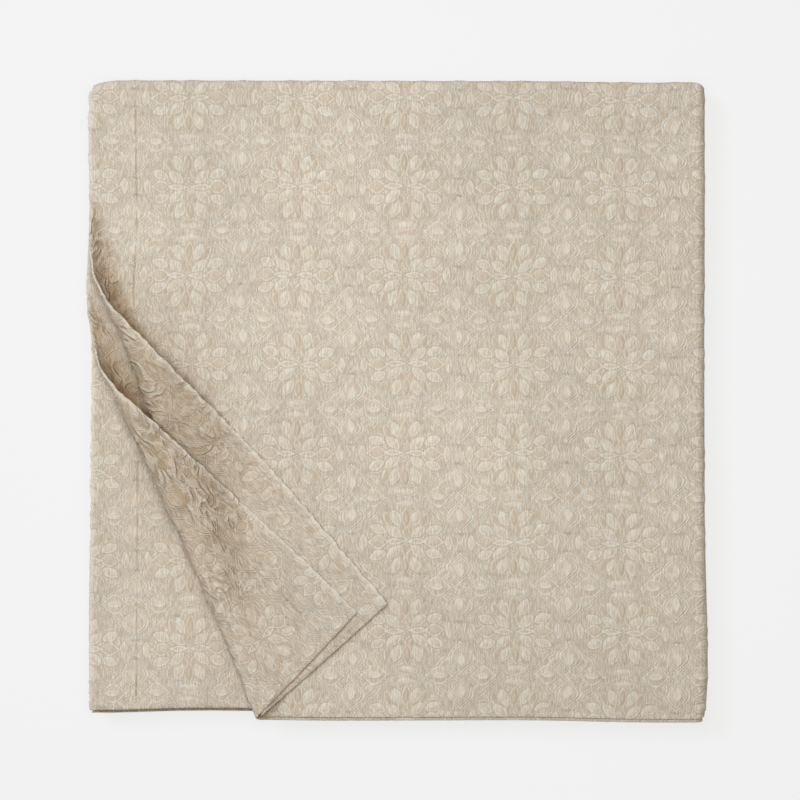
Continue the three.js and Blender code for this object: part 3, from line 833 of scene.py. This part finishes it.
def box_shift():
    """The neat fold's own middle, which lies over the frame's origin."""
    low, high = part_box("coverlet")
    wanted = (np.array(low) + np.array(high)) / 2
    across = np.linspace(0, WIDTH_PATH.length, 600)
    along = np.linspace(0, LENGTH_PATH.length, 600)
    u, v = (g.ravel() for g in np.meshgrid(across, along))
    cloth = fold_cloth(u, v, np.full(len(u), CLOTH / 2))
    cloth = np.concatenate([cloth, fold_cloth(u, v, np.full(len(u), -CLOTH / 2))])
    found = (cloth.min(axis=0) + cloth.max(axis=0)) / 2
    return np.array([found[0] - wanted[0], found[1] - wanted[1], 0.0])


FRAME_SHIFT = box_shift()


def make_object(name, vertices, faces):
    mesh = bpy.data.meshes.new(name)
    mesh.from_pydata([tuple(v) for v in vertices.tolist()], [], faces)
    mesh.validate()
    mesh.polygons.foreach_set("use_smooth", np.ones(len(mesh.polygons), bool))
    piece = bpy.data.objects.new(name, mesh)
    bpy.context.scene.collection.objects.link(piece)
    return piece


def lay_out_flat(mesh, flat, reverse_faces):
    """Keeps each corner's flat place in metres; the reverse lies beside the face."""
    layer = mesh.uv_layers.new(name="flat")
    corner_vertex = np.zeros(len(mesh.loops), np.int32)
    mesh.loops.foreach_get("vertex_index", corner_vertex)
    starts = np.zeros(len(mesh.polygons), np.int32)
    mesh.polygons.foreach_get("loop_start", starts)
    place = flat[corner_vertex].copy()
    first, last = starts[reverse_faces[0]], starts[reverse_faces[1]]
    place[first:last, 0] += REVERSE_SHIFT
    layer.uv.foreach_set("vector", place.astype(np.float32).ravel())


def keep_value(mesh, name, values):
    """Keeps a value from 0 to 1 at each vertex for the cloth's material."""
    attribute = mesh.attributes.new(name, "FLOAT", "POINT")
    attribute.data.foreach_set("value", values.astype(np.float32))


def crinkle_at(u, v):
    """Crumpling beside the rolls of the two corners, strongest at their upper ends."""
    found = np.zeros(len(u))
    x, y = LEFT_EDGE + u, LENGTH_PATH.at(v)[0]
    for flap, layer in ((FIRST_FLAP, 0), (SECOND_FLAP, 6)):
        here = (u <= TOP_SPAN) & (LENGTH_PATH.part_index(v) == layer)
        if here.any():
            place = flap.place(x[here], y[here])
            starts, ends = near_roll(CRUMPLE, place["beyond"])
            down = smooth((place["along"] / flap.length - flap.calm[0]) / flap.calm[1])
            calmed = 1 - (1 - CRUMPLE_CALM) * down
            found[here] = starts * (CRUMPLE_REST + (1 - CRUMPLE_REST) * ends * calmed)
    return found


def shade_at(places):
    """How much of the light from above the higher cloth around hides from each point, 0 to 1, counted more
    from the left where the key light stands; the cloth's material paints it into its colour as shade.
    """
    edge = int(max(SHADE_STEPS) / SHADE_CELL) + 2
    cells = ((places[:, :2] - places[:, :2].min(axis=0)) / SHADE_CELL).astype(int) + edge
    top = np.zeros(cells.max(axis=0) + edge + 1)
    np.maximum.at(top, (cells[:, 0], cells[:, 1]), places[:, 2])
    hidden, total = np.zeros(len(places)), 0.0
    for side in range(SHADE_SIDES):
        angle = 2 * math.pi * side / SHADE_SIDES
        slope = np.zeros(len(places))
        for reach in SHADE_STEPS:
            step = np.rint(np.array([math.cos(angle), math.sin(angle)]) * reach / SHADE_CELL).astype(int)
            higher = top[cells[:, 0] + step[0], cells[:, 1] + step[1]] - places[:, 2] - SHADE_STEP_UP
            slope = np.maximum(slope, higher / reach)
        weight = 1 - SHADE_LEFT * math.cos(angle)
        hidden += weight * np.arctan(slope) / (math.pi / 2)
        total += weight
    return hidden / total


def stitch_faces(rings):
    """Faces of one stitch, as ring and corner numbers run together."""
    faces = []
    for k in range(rings - 1):
        for corner in range(STITCH_SIDES):
            near, far = k * STITCH_SIDES, (k + 1) * STITCH_SIDES
            after = (corner + 1) % STITCH_SIDES
            faces.append((near + corner, far + corner, far + after, near + after))
    last = (rings - 1) * STITCH_SIDES
    faces.append(tuple(range(STITCH_SIDES)))
    faces.append(tuple(range(last + STITCH_SIDES - 1, last - 1, -1)))
    return faces


def stitch_mesh(runs, stitches, cloth):
    """Joined small threads laid along the sewn line of the left hem, sunk at their ends."""
    vertices, faces, count = [], [], 0
    for run in runs:
        side = run["side"]
        number = int((run["to"] - run["from"]) / STITCH_PITCH)
        middles = run["from"] + (np.arange(number) + 0.5) * STITCH_PITCH
        u = SIDE_HEM + stitches.wander * np.sin(middles * WANDER_PER_METRE)
        rows = []
        for ring in STITCH_RINGS:
            v = middles + ring["along"] * STITCH_LENGTH
            surface = face_rise(u, v, cloth) if side > 0 else reverse_rise(u, v, cloth)
            centre = surface + side * stitches.thread * ring["high"]
            for corner in range(STITCH_SIDES):
                angle = -side * 2 * math.pi * corner / STITCH_SIDES
                reach = ring["wide"] * stitches.thread / 2
                rise = centre + reach * math.sin(angle) + bend_shift(u, v)
                rows.append(fold_cloth(u + reach * math.cos(angle), v, rise))
        vertices.append(np.stack(rows, axis=1).reshape(-1, 3))
        rows_each = len(STITCH_RINGS) * STITCH_SIDES
        pattern = stitch_faces(len(STITCH_RINGS))
        for first in range(count, count + number * rows_each, rows_each):
            faces.extend(tuple(first + corner for corner in face) for face in pattern)
        count += number * rows_each
    return np.concatenate(vertices), faces


class Bench:
    """Short ways to put nodes into a material or a node group."""

    def __init__(self, tree):
        self.tree = tree

    def node(self, kind, inputs=(), **settings):
        node = self.tree.nodes.new(kind)
        for key, value in settings.items():
            setattr(node, key, value)
        for key, value in dict(inputs).items():
            self.put(node.inputs[key], value)
        return node

    def put(self, socket, value):
        if isinstance(value, bpy.types.NodeSocket):
            self.tree.links.new(value, socket)
        else:
            socket.default_value = value

    def math(self, operation, *values, clamp=False):
        node = self.node("ShaderNodeMath", enumerate(values), operation=operation, use_clamp=clamp)
        return node.outputs[0]

    def vector(self, operation, *values):
        node = self.node("ShaderNodeVectorMath", enumerate(values), operation=operation)
        return node.outputs["Value" if operation in ("LENGTH", "DOT_PRODUCT") else "Vector"]

    def fade(self, value, low, high, out_low=0.0, out_high=1.0, smooth_step=True):
        """The value carried from low..high to out_low..out_high."""
        kind = "SMOOTHSTEP" if smooth_step else "LINEAR"
        inputs = {"Value": value, "From Min": low, "From Max": high, "To Min": out_low, "To Max": out_high}
        return self.node("ShaderNodeMapRange", inputs, interpolation_type=kind).outputs["Result"]

    def noise(self, place, scale, detail=2.0, rough=0.5):
        inputs = {"Vector": place, "Scale": scale, "Detail": detail, "Roughness": rough}
        return self.node("ShaderNodeTexNoise", inputs).outputs["Fac"]

    def blend(self, factor, one, other, kind="MIX"):
        node = self.node("ShaderNodeMix", data_type="RGBA", blend_type=kind)
        self.put(node.inputs["Factor"], factor)
        self.put(node.inputs[6], one)
        self.put(node.inputs[7], other)
        return node.outputs[2]

    def join(self, values):
        return self.node("ShaderNodeCombineXYZ", enumerate(values)).outputs[0]

    def parts(self, vector):
        return self.node("ShaderNodeSeparateXYZ", {"Vector": vector}).outputs

    def fade_three(self, value, low, high, out_low, out_high):
        """As fade, for the three values in a vector."""
        inputs = enumerate((value, low, high, out_low, out_high), FIRST_VECTOR_INPUT)
        node = self.node("ShaderNodeMapRange", inputs, data_type="FLOAT_VECTOR",
                         interpolation_type="SMOOTHSTEP")
        return node.outputs["Vector"]

    def largest(self, vectors):
        """The largest of all the values in the vectors."""
        found = vectors[0]
        for vector in vectors[1:]:
            found = self.vector("MAXIMUM", found, vector)
        x, y, z = self.parts(found)
        return self.math("MAXIMUM", self.math("MAXIMUM", x, y), z)


def new_group(name, inputs, outputs):
    group = bpy.data.node_groups.new(name, "ShaderNodeTree")
    for label, kind in inputs:
        group.interface.new_socket(label, in_out="INPUT", socket_type=kind)
    for label in outputs:
        group.interface.new_socket(label, in_out="OUTPUT", socket_type="NodeSocketFloat")
    bench = Bench(group)
    return group, bench, bench.node("NodeGroupInput"), bench.node("NodeGroupOutput")


def form_triples():
    """The forms in threes of one kind, because a vector node works out three at once."""
    found = []
    for kind in ("lens", "pod", "diamond"):
        forms = [form for form in FORMS if form["kind"].startswith(kind)]
        forms += forms[-1:] * (-len(forms) % 3)
        found.extend((kind, forms[i:i + 3]) for i in range(0, len(forms), 3))
    return found


def form_axes(form):
    """What makes a form's run and cross place, in shares of its size, of a place in the repeat."""
    star = form["of"] == "star"
    flip = -1 if star else 1
    off_x = (REPEAT_X / MM / 2 if star else 0) - form["x"]
    off_y = (REPEAT_Y / MM / 2 if star else 0) - form["y"]
    turn = math.radians(form.get("turn", 0))
    cos, sin, a, b = math.cos(turn), math.sin(turn), form["a"], form["b"]
    axes = [(flip * cos / a, flip * sin / a, (off_x * cos + off_y * sin) / a),
            (-flip * sin / b, flip * cos / b, (off_y * cos - off_x * sin) / b)]
    return axes[::-1] if form["kind"].endswith("y") else axes


def form_depths(bench, kind, forms, x, y):
    """Nodes for how far in a point lies from the edges of three forms, as depth_in_form."""
    none, one, slope = (0.0,) * 3, (1.0,) * 3, (END_SLOPE,) * 3
    places = []
    for axes in zip(*(form_axes(form) for form in forms)):
        by_x, by_y, start = zip(*axes)
        place = bench.vector("MULTIPLY_ADD", x, by_x, bench.vector("MULTIPLY_ADD", y, by_y, start))
        places.append(bench.vector("ABSOLUTE", place))
    run, cross = places
    if kind == "diamond":
        inner = bench.vector("SUBTRACT", one, run)
        wide = [form["a"] * form["b"] / math.hypot(form["a"], form["b"]) for form in forms]
    else:
        inner = bench.vector("SUBTRACT", one, bench.vector("MULTIPLY", run, run))
        inner = bench.vector("MAXIMUM", inner, none)
        if kind == "pod":
            inner = bench.join(bench.math("POWER", part, POD_POWER) for part in bench.parts(inner))
        past = bench.vector("MULTIPLY_ADD", run, slope, [-part for part in slope])
        inner = bench.vector("SUBTRACT", inner, bench.vector("MAXIMUM", past, none))
        wide = [min(form["a"], form["b"]) for form in forms]
    return bench.vector("MULTIPLY", bench.vector("SUBTRACT", inner, cross), wide)


def build_motif():
    """One repeat of the woven pattern: its outlines, its tones, its swelling, and painted shade in the
    medallions' grooves and the ground's hollows.
    """
    outputs = ("Line", "Cream", "Blush", "Shade", "Height")
    group, bench, source, sink = new_group("Woven motif", [("Flat", "NodeSocketVector")], outputs)
    shift = (LEFT_EDGE - MEDALLION_X, FIRST_END - MEDALLION_Y, 0)
    place = bench.vector("ADD", source.outputs["Flat"], shift)
    x, y, _ = bench.parts(bench.vector("MULTIPLY", place, (1 / MM, 1 / MM, 0)))
    inputs = {"Vector": source.outputs["Flat"], "Scale": FRAY_SCALE, "Detail": 2.0}
    fray = bench.node("ShaderNodeTexNoise", inputs).outputs["Color"]
    fray = bench.parts(bench.vector("SUBTRACT", fray, (0.5, 0.5, 0.5)))
    folded = []
    for one, other, off, size in ((x, y, fray[0], REPEAT_X), (y, x, fray[1], REPEAT_Y)):
        wave = bench.math("SINE", bench.math("DIVIDE", one, WOBBLE_SHORT))
        wave = bench.math("SINE", bench.math("ADD", bench.math("DIVIDE", other, WOBBLE_LONG), wave))
        moved = bench.math("MULTIPLY_ADD", off, FRAY, bench.math("MULTIPLY_ADD", wave, WOBBLE, one))
        folded.append(bench.join([bench.math("PINGPONG", moved, size / MM / 2)] * 3))
    found = {label: [] for label in outputs}
    depths = []
    none = (0.0,) * 3
    for kind, forms in form_triples():
        depth = form_depths(bench, kind, forms, *folded)
        depths.append(depth)
        rims = (
            ("Line", none, FORM_EDGE, [form.get("edge", 0.0) for form in forms]),
            ("Line", [form.get("echo", 0.0) for form in forms], FORM_EDGE,
             [form["edge"] if "echo" in form else 0.0 for form in forms]),
            # Painted shade in the groove around each medallion form.
            ("Shade", [GROOVE_OUT] * 3, GROOVE_WIDE,
             [GROOVE_PAINTED_SHADE if form["of"] == "medallion" else 0.0 for form in forms]),
        )
        for label, out, wide, strengths in rims:
            if any(strengths):
                off = bench.vector("ABSOLUTE", bench.vector("ADD", depth, out))
                found[label].append(bench.fade_three(off, none, [wide] * 3, strengths, none))
        for tone in TONES:
            strengths = [form.get(tone, 0.0) for form in forms]
            if any(strengths):
                mask = bench.fade_three(depth, [-FORM_BLEED] * 3, [FORM_SOFT] * 3, none, strengths)
                found[tone.capitalize()].append(mask)
        soft = [PUFF_SOFT * min(form["a"], form["b"]) for form in forms]
        puffs = [form.get("puff", 0.0) for form in forms]
        found["Height"].append(bench.fade_three(depth, none, soft, none, puffs))
    out = bench.math("MULTIPLY", bench.largest(depths), -1.0)
    wave = bench.math("COSINE", bench.math("MULTIPLY", out, 2 * math.pi / CONTOUR_PITCH))
    far = bench.fade(out, CONTOUR_REACH, CONTOUR_REACH + 2 * CONTOUR_PITCH, 1.0, CONTOUR_FAR)
    reach = bench.math("MULTIPLY", bench.fade(out, CONTOUR_START, CONTOUR_PITCH / 2), far)
    # The contour lines are woven; the hollows between them get painted shade.
    contours = {"Line": bench.fade(wave, 0.2, 1.0, 0.0, CONTOUR_LINE),
                "Shade": bench.fade(wave, 0.0, -1.0, 0.0, CONTOUR_PAINTED_SHADE)}
    for label in outputs:
        value = bench.largest(found[label])
        if label in contours:
            value = bench.math("MAXIMUM", value, bench.math("MULTIPLY", contours[label], reach))
        bench.put(sink.inputs[label], value)
    return group


def build_weave():
    """Long fine threads: light and dark streaks, warm and cool ones, and their relief."""
    inputs = [("Flat", "NodeSocketVector"), ("Fineness", "NodeSocketFloat")]
    outputs = ("Light", "Warm", "Relief", "Drift")
    group, bench, source, sink = new_group("Thread weave", inputs, outputs)
    flat, fine = source.outputs["Flat"], source.outputs["Fineness"]
    along = bench.vector("MULTIPLY", flat, (STREAK_ACROSS, STREAK_ALONG, 0))
    light = bench.noise(along, fine, 3.0, 0.62)
    warm = bench.noise(bench.vector("ADD", along, WARM_SHIFT), fine, 2.0, 0.5)
    rib = bench.noise(bench.vector("MULTIPLY", flat, (RIB_ACROSS, RIB_ALONG, 0)), fine, 1.0, 0.4)
    drift = bench.noise(flat, DRIFT_SCALE, 3.0, 0.5)
    bench.put(sink.inputs["Light"], bench.fade(light, *LIGHT_FADE))
    bench.put(sink.inputs["Warm"], bench.fade(warm, *WARM_FADE))
    bench.put(sink.inputs["Relief"], bench.math("MULTIPLY_ADD", rib, RIB_SHARE, light))
    bench.put(sink.inputs["Drift"], drift)
    return group


def group_node(bench, group, **inputs):
    node = bench.node("ShaderNodeGroup")
    node.node_tree = group
    for key, value in inputs.items():
        bench.put(node.inputs[key], value)
    return node.outputs


def new_material(name):
    material = bpy.data.materials.new(name)
    material.use_nodes = True
    material.node_tree.nodes.clear()
    return material, Bench(material.node_tree)


def put_shader(bench, inputs):
    shader = bench.node("ShaderNodeBsdfPrincipled", inputs)
    bench.node("ShaderNodeOutputMaterial", {"Surface": shader.outputs[0]})


def crease_masks(bench, flat, crinkle):
    """Valleys and crests of the creases beside the rolls, for painted shade and painted highlights, and their
    relief.
    """
    turned = bench.join([bench.vector("DOT_PRODUCT", flat, (CREASE_SLANT, CREASE_ACROSS, 0)),
                         bench.vector("DOT_PRODUCT", flat, (-CREASE_ACROSS, CREASE_SLANT, 0))])
    folds = bench.node("ShaderNodeTexNoise", {
        "Vector": bench.vector("MULTIPLY", turned, (CREASE_SHORT, CREASE_LONG, 0)),
        "Scale": 1.0, "Detail": 1.0, "Roughness": 0.5, "Distortion": CREASE_BEND}).outputs["Fac"]
    patch = bench.fade(bench.noise(flat, CREASE_PATCH, 1.0), *PATCH_FADE)
    wave = bench.math("COSINE", bench.math("MULTIPLY", folds, 2 * math.pi * CREASE_WAVES))
    crumple = bench.math("MULTIPLY", patch, crinkle)
    painted_crease_shade = bench.math("MULTIPLY", bench.fade(wave, *VALLEY_FADE), crumple)
    painted_ridge_highlight = bench.math("MULTIPLY", bench.fade(wave, *RIDGE_FADE), crumple)
    return painted_crease_shade, painted_ridge_highlight, bench.math("MULTIPLY", wave, crumple)


def seam_mask(bench, flat, inward):
    """The sewn groove of the side hems, broken up in places: painted shade in the colour, and a dip in the
    relief.
    """
    off = bench.math("ABSOLUTE", bench.math("SUBTRACT", inward, SIDE_HEM))
    seam_breaks = bench.fade(bench.noise(bench.vector("MULTIPLY", flat, SEAM_BREAK_SCALE), 1.0, 3.0), *SEAM_BREAK_FADE)
    return bench.math("MULTIPLY", bench.fade(off, *SEAM_LINE, 1.0, 0.0), seam_breaks)


def cloth_material(motif, weave, colours):
    material, bench = new_material("Puffed cotton weave")
    flat = bench.node("ShaderNodeUVMap", uv_map="flat").outputs["UV"]
    across = bench.parts(flat)[0]
    reverse = bench.math("GREATER_THAN", across, REVERSE_SHIFT - REPEAT_X)
    inward = bench.math("MODULO", across, REVERSE_SHIFT)
    crinkle = bench.node("ShaderNodeAttribute", attribute_name="crinkle").outputs["Fac"]
    painted_hollow_shade = bench.node("ShaderNodeAttribute", attribute_name="painted_hollow_shade").outputs["Fac"]
    form = group_node(bench, motif, Flat=flat)
    thread = group_node(bench, weave, Flat=flat, Fineness=1.0)
    painted_crease_shade, painted_ridge_highlight, folds = crease_masks(bench, flat, crinkle)
    seam = seam_mask(bench, flat, inward)

    filled = bench.math("MULTIPLY", form["Cream"], bench.fade(thread["Light"], *CREAM_FADE))
    line = bench.math("MULTIPLY", form["Line"], bench.fade(thread["Light"], *LINE_FADE))
    line = bench.math("MULTIPLY", line, bench.fade(reverse, 0.0, 1.0, 1.0, REVERSE_LINES))
    drift = bench.fade(thread["Drift"], *DRIFT_FADE)
    drift = bench.node("ShaderNodeCombineColor", dict.fromkeys(("Red", "Green", "Blue"), drift)).outputs[0]
    # Painted shade: the crumpled parts and the hollows darken the colour towards the hollow brown.
    painted_shade = bench.math("MULTIPLY", crinkle, CRINKLE_PAINTED_SHADE_SHARE)
    painted_shade = bench.math("MULTIPLY_ADD", painted_hollow_shade, HOLLOW_PAINTED_SHADE_SHARE, painted_shade, clamp=True)
    layers = (
        (thread["Light"], colours.light_yarn, "MIX"),
        (bench.math("MULTIPLY", thread["Warm"], WARM_SHARE), colours.warm_yarn, "MIX"),
        (bench.math("MULTIPLY", form["Blush"], BLUSH_SHARE), colours.blush, "MIX"),
        # The Shade tone: brown of the pods, the star's heart and wings, and painted shade beside the lobes,
        # in the medallions' grooves and in the ground's hollows.
        (bench.math("MULTIPLY", form["Shade"], SHADE_SHARE), colours.shade, "MIX"),
        (filled, colours.cream, "MIX"),
        (line, colours.cream, "MIX"),
        (1.0, drift, "MULTIPLY"),
        # Painted shade in the crease valleys and painted highlight on their crests.
        (bench.math("MULTIPLY", painted_crease_shade, CREASE_PAINTED_SHADE_SHARE), colours.painted_valley_shade, "MIX"),
        (bench.math("MULTIPLY", painted_ridge_highlight, RIDGE_PAINTED_HIGHLIGHT_SHARE), colours.cream, "MIX"),
        # Painted shade of the hollows, beside raised edges and in the crumpled parts.
        (painted_shade, colours.painted_hollow_shade, "MULTIPLY"),
        # Painted highlight along the cloth's edges.
        (bench.fade(inward, 0.0, RIM_PAINTED_HIGHLIGHT_WIDTH, RIM_PAINTED_HIGHLIGHT_SHARE, 0.0), colours.cream, "MIX"),
        # Painted shade along the hems' sewn groove.
        (seam, colours.painted_valley_shade, "MIX"),
    )
    tone = (*colours.shadow_yarn, 1)
    for factor, colour, kind in layers:
        tone = bench.blend(factor, tone, colour if colour is drift else (*colour, 1), kind)

    relief = bench.math("MULTIPLY", thread["Relief"], THREAD_HIGH)
    for value, share in (
            (form["Line"], bench.math("MULTIPLY_ADD", crinkle, *LINE_HIGH)),
            (form["Height"], bench.math("MULTIPLY_ADD", crinkle, *FORM_HIGH)),
            (folds, CREASE_HIGH), (seam, -SEAM_LOW)):
        relief = bench.math("MULTIPLY_ADD", value, share, relief)
    bump = bench.node("ShaderNodeBump", {"Height": relief, "Distance": MM, "Strength": 1.0})
    put_shader(bench, {
        "Base Color": tone, "Normal": bump.outputs[0], "Roughness": 0.88,
        "Sheen Weight": 0.05, "Sheen Roughness": 0.5, "Specular IOR Level": 0.2,
    })
    return material


def thread_material(weave, settings):
    material, bench = new_material("Sewing thread")
    place = bench.node("ShaderNodeTexCoord").outputs["Object"]
    thread = group_node(bench, weave, Flat=place, Fineness=1.6)
    tone = bench.blend(thread["Light"], (*settings.colour, 1), (*settings.light, 1))
    bump = bench.node("ShaderNodeBump", {"Height": thread["Relief"], "Distance": 0.1 * MM})
    put_shader(bench, {
        "Base Color": tone, "Normal": bump.outputs[0], "Roughness": 0.7, "Sheen Weight": 0.1,
    })
    return material


def shared_group(name, build):
    return bpy.data.node_groups.get(name) or build()


def colour_setting(name, description, value):
    return bpy.props.FloatVectorProperty(
        name=name, description=description, default=value, size=3, min=0.0, max=1.0, subtype="COLOR")


class CoverletCloth(bpy.types.PropertyGroup):
    thickness: bpy.props.FloatProperty(
        name="Thickness", description="Thickness of the cloth between its puffs",
        default=CLOTH, min=0.001, max=0.002, unit="LENGTH")
    puff: bpy.props.FloatProperty(
        name="Puff", description="How far the fullest woven form swells from the cloth",
        default=0.0007, min=0.0, max=0.001, unit="LENGTH")
    light_yarn: colour_setting("Light yarn", "Light threads of the ground", (0.77, 0.73, 0.635))
    shadow_yarn: colour_setting("Shadow yarn", "Dark threads of the ground", (0.53, 0.45, 0.345))
    warm_yarn: colour_setting("Warm yarn", "Pinkish threads of the ground", (0.63, 0.51, 0.375))
    # Cream also paints the highlights on the crease crests and along the cloth's edges.
    cream: colour_setting("Cream", "Outlines and light lobes", (0.80, 0.76, 0.665))
    blush: colour_setting("Blush", "Buds and petals", (0.60, 0.495, 0.375))
    # Shade: brown of the pods, the star's heart and wings, and painted shade beside the lobes, in the
    # medallions' grooves and in the ground's hollows.
    shade: colour_setting("Shade", "Upright pods", (0.50, 0.40, 0.285))
    # Painted shade of the hollows, beside raised edges and in the crumpled parts.
    painted_hollow_shade: colour_setting("Hollow", "Brown of the cloth's own shade in its hollows", (0.56, 0.41, 0.26))
    # Painted shade in the crease valleys and along the hems' sewn groove.
    painted_valley_shade: colour_setting("Valley", "Creases and the hem's sewn line", (0.44, 0.33, 0.205))


class CoverletStitches(bpy.types.PropertyGroup):
    thread: bpy.props.FloatProperty(
        name="Thread", description="Thickness of the sewing thread",
        default=0.0005, min=0.0002, max=0.001, unit="LENGTH")
    wander: bpy.props.FloatProperty(
        name="Wander", description="How far the stitches wander from the hem's line",
        default=0.0002, min=0.0, max=0.001, unit="LENGTH")
    colour: colour_setting("Thread colour", "Colour of the sewing thread", (0.55, 0.45, 0.33))
    light: colour_setting("Thread light", "Light twist of the sewing thread", (0.72, 0.64, 0.52))


class CoverletStage(bpy.types.PropertyGroup):
    lens: bpy.props.FloatProperty(
        name="Lens", description="Focal length of the camera in millimetres",
        default=100.0, min=50.0, max=200.0)
    key: bpy.props.FloatProperty(
        name="Key light", description="Power of the soft light at the upper left",
        default=83.0, min=0.0, max=1000.0, unit="POWER")
    overhead: bpy.props.FloatProperty(
        name="Overhead light", description="Power of the soft light over the middle",
        default=5.0, min=0.0, max=100.0, unit="POWER")
    surround: bpy.props.FloatProperty(
        name="Surround", description="Strength of the light from all sides",
        default=0.312, min=0.0, max=3.0)
    floor: colour_setting("Floor", "Colour of the plain floor", (0.9, 0.9, 0.9))


def dress(piece, material):
    piece.data.materials.append(material)
    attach(piece, "root")


class OBJECT_OT_coverlet_cloth(bpy.types.Operator):
    """Lay out the folded cloth with its puffed weave"""
    bl_idname = "object.coverlet_cloth"
    bl_label = "Coverlet cloth"

    def execute(self, context):
        settings = context.scene.coverlet_cloth
        places, faces, flat, side_ends = cloth_mesh(settings)
        cloth = make_object("coverlet_cloth", places - FRAME_SHIFT, faces)
        if len(cloth.data.polygons) != len(faces):
            raise RuntimeError("the cloth's mesh lost faces")
        lay_out_flat(cloth.data, flat, side_ends)
        keep_value(cloth.data, "crinkle", crinkle_at(flat[:, 0], flat[:, 1]))
        # Painted shade of the hollows, which the material multiplies into the colour.
        keep_value(cloth.data, "painted_hollow_shade", shade_at(places))
        motif = shared_group("Woven motif", build_motif)
        weave = shared_group("Thread weave", build_weave)
        dress(cloth, cloth_material(motif, weave, settings))
        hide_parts("coverlet")
        return {"FINISHED"}


class OBJECT_OT_coverlet_stitches(bpy.types.Operator):
    """Sew the left hem's row of stitches where it shows"""
    bl_idname = "object.coverlet_stitches"
    bl_label = "Hem stitches"

    def execute(self, context):
        settings = context.scene.coverlet_stitches
        vertices, faces = stitch_mesh(STITCH_RUNS, settings, context.scene.coverlet_cloth)
        stitches = make_object("hem_stitches", vertices - FRAME_SHIFT, faces)
        weave = shared_group("Thread weave", build_weave)
        dress(stitches, thread_material(weave, settings))
        cloth = bpy.data.objects.get("coverlet_cloth")
        if cloth is None:
            raise RuntimeError("the cloth comes before its stitches")
        return {"FINISHED"}


def aim(thing, target):
    direction = Vector(target) - thing.location
    thing.rotation_euler = direction.to_track_quat("-Z", "Y").to_euler()


def add_light(name, place, size, power, colour=(1.0, 1.0, 1.0)):
    data = bpy.data.lights.new(name, "AREA")
    data.shape, data.size, data.energy, data.color = "DISK", size, power, colour
    light = bpy.data.objects.new(name, data)
    bpy.context.scene.collection.objects.link(light)
    light.location = place
    light.visible_camera = False
    aim(light, (0, 0, STAGE_AIM))
    return light


def floor_material(colour):
    material = bpy.data.materials.new("Plain floor")
    material.use_nodes = True
    shader = material.node_tree.nodes["Principled BSDF"]
    shader.inputs["Base Color"].default_value = (*(FLOOR_SHADED * part for part in colour), 1)
    shader.inputs["Roughness"].default_value = 1.0
    shader.inputs["Specular IOR Level"].default_value = 0.0
    shader.inputs["Emission Color"].default_value = (*colour, 1)
    shader.inputs["Emission Strength"].default_value = 1 - FLOOR_SHADED
    return material


def surround_world(strength):
    """Light from all sides, darker and browner low down, as beside a plain table."""
    world = bpy.data.worlds.new("Surround")
    world.use_nodes = True
    bench = Bench(world.node_tree)
    toward = bench.node("ShaderNodeTexCoord").outputs["Generated"]
    up = bench.fade(bench.parts(toward)[2], 0.0, SURROUND_FULL)
    background = world.node_tree.nodes["Background"]
    bench.put(background.inputs["Color"], bench.blend(up, SURROUND_LOW, SURROUND_HIGH))
    background.inputs["Strength"].default_value = strength
    return world


class OBJECT_OT_coverlet_stage(bpy.types.Operator):
    """Set the plain floor, the soft light and the camera over the coverlet"""
    bl_idname = "object.coverlet_stage"
    bl_label = "Stage"

    def execute(self, context):
        scene, looks = context.scene, context.scene.coverlet_stage
        half = FLOOR_SIZE / 2
        corners = np.array([(-half, -half, 0.0), (half, -half, 0.0), (half, half, 0.0), (-half, half, 0.0)])
        floor = make_object("floor", corners, [(0, 1, 2, 3)])
        floor.data.materials.append(floor_material(looks.floor))
        add_light("Key light", KEY_PLACE, KEY_SIZE, looks.key, KEY_TINT)
        add_light("Overhead light", OVERHEAD_PLACE, OVERHEAD_SIZE, looks.overhead, OVERHEAD_TINT)
        scene.world = surround_world(looks.surround)
        scene.view_settings.view_transform = "Standard"
        scene.view_settings.look = "None"
        data = bpy.data.cameras.new("Camera over the coverlet")
        data.lens, data.sensor_width = looks.lens, SENSOR
        camera = bpy.data.objects.new("Camera over the coverlet", data)
        scene.collection.objects.link(camera)
        reach = VIEW_WIDTH * looks.lens / SENSOR
        camera.location = (VIEW_MIDDLE[0], VIEW_MIDDLE[1], VIEW_LEVEL + reach)
        scene.camera = camera
        return {"FINISHED"}


class VIEW3D_PT_coverlet(bpy.types.Panel):
    """Sizes, colours and steps of the folded coverlet"""
    bl_label = "Folded coverlet"
    bl_idname = "VIEW3D_PT_coverlet"
    bl_space_type = "VIEW_3D"
    bl_region_type = "UI"
    bl_category = "Coverlet"

    def draw(self, context):
        scene = context.scene
        steps = (
            (scene.coverlet_cloth, OBJECT_OT_coverlet_cloth),
            (scene.coverlet_stitches, OBJECT_OT_coverlet_stitches),
            (scene.coverlet_stage, OBJECT_OT_coverlet_stage),
        )
        for settings, operator in steps:
            box = self.layout.box()
            for key in settings.__annotations__:
                box.prop(settings, key)
            box.operator(operator.bl_idname)


CLASSES = (
    CoverletCloth, CoverletStitches, CoverletStage,
    OBJECT_OT_coverlet_cloth, OBJECT_OT_coverlet_stitches, OBJECT_OT_coverlet_stage,
    VIEW3D_PT_coverlet,
)
SETTINGS = {
    "coverlet_cloth": CoverletCloth,
    "coverlet_stitches": CoverletStitches,
    "coverlet_stage": CoverletStage,
}


def register():
    for kind in CLASSES:
        bpy.utils.register_class(kind)
    for name, kind in SETTINGS.items():
        setattr(bpy.types.Scene, name, bpy.props.PointerProperty(type=kind))


def unregister():
    for name in SETTINGS:
        delattr(bpy.types.Scene, name)
    for kind in reversed(CLASSES):
        bpy.utils.unregister_class(kind)


def main():
    register()
    bpy.ops.object.coverlet_cloth()
    bpy.ops.object.coverlet_stitches()
    bpy.ops.object.coverlet_stage()


if __name__ == "__main__":
    main()
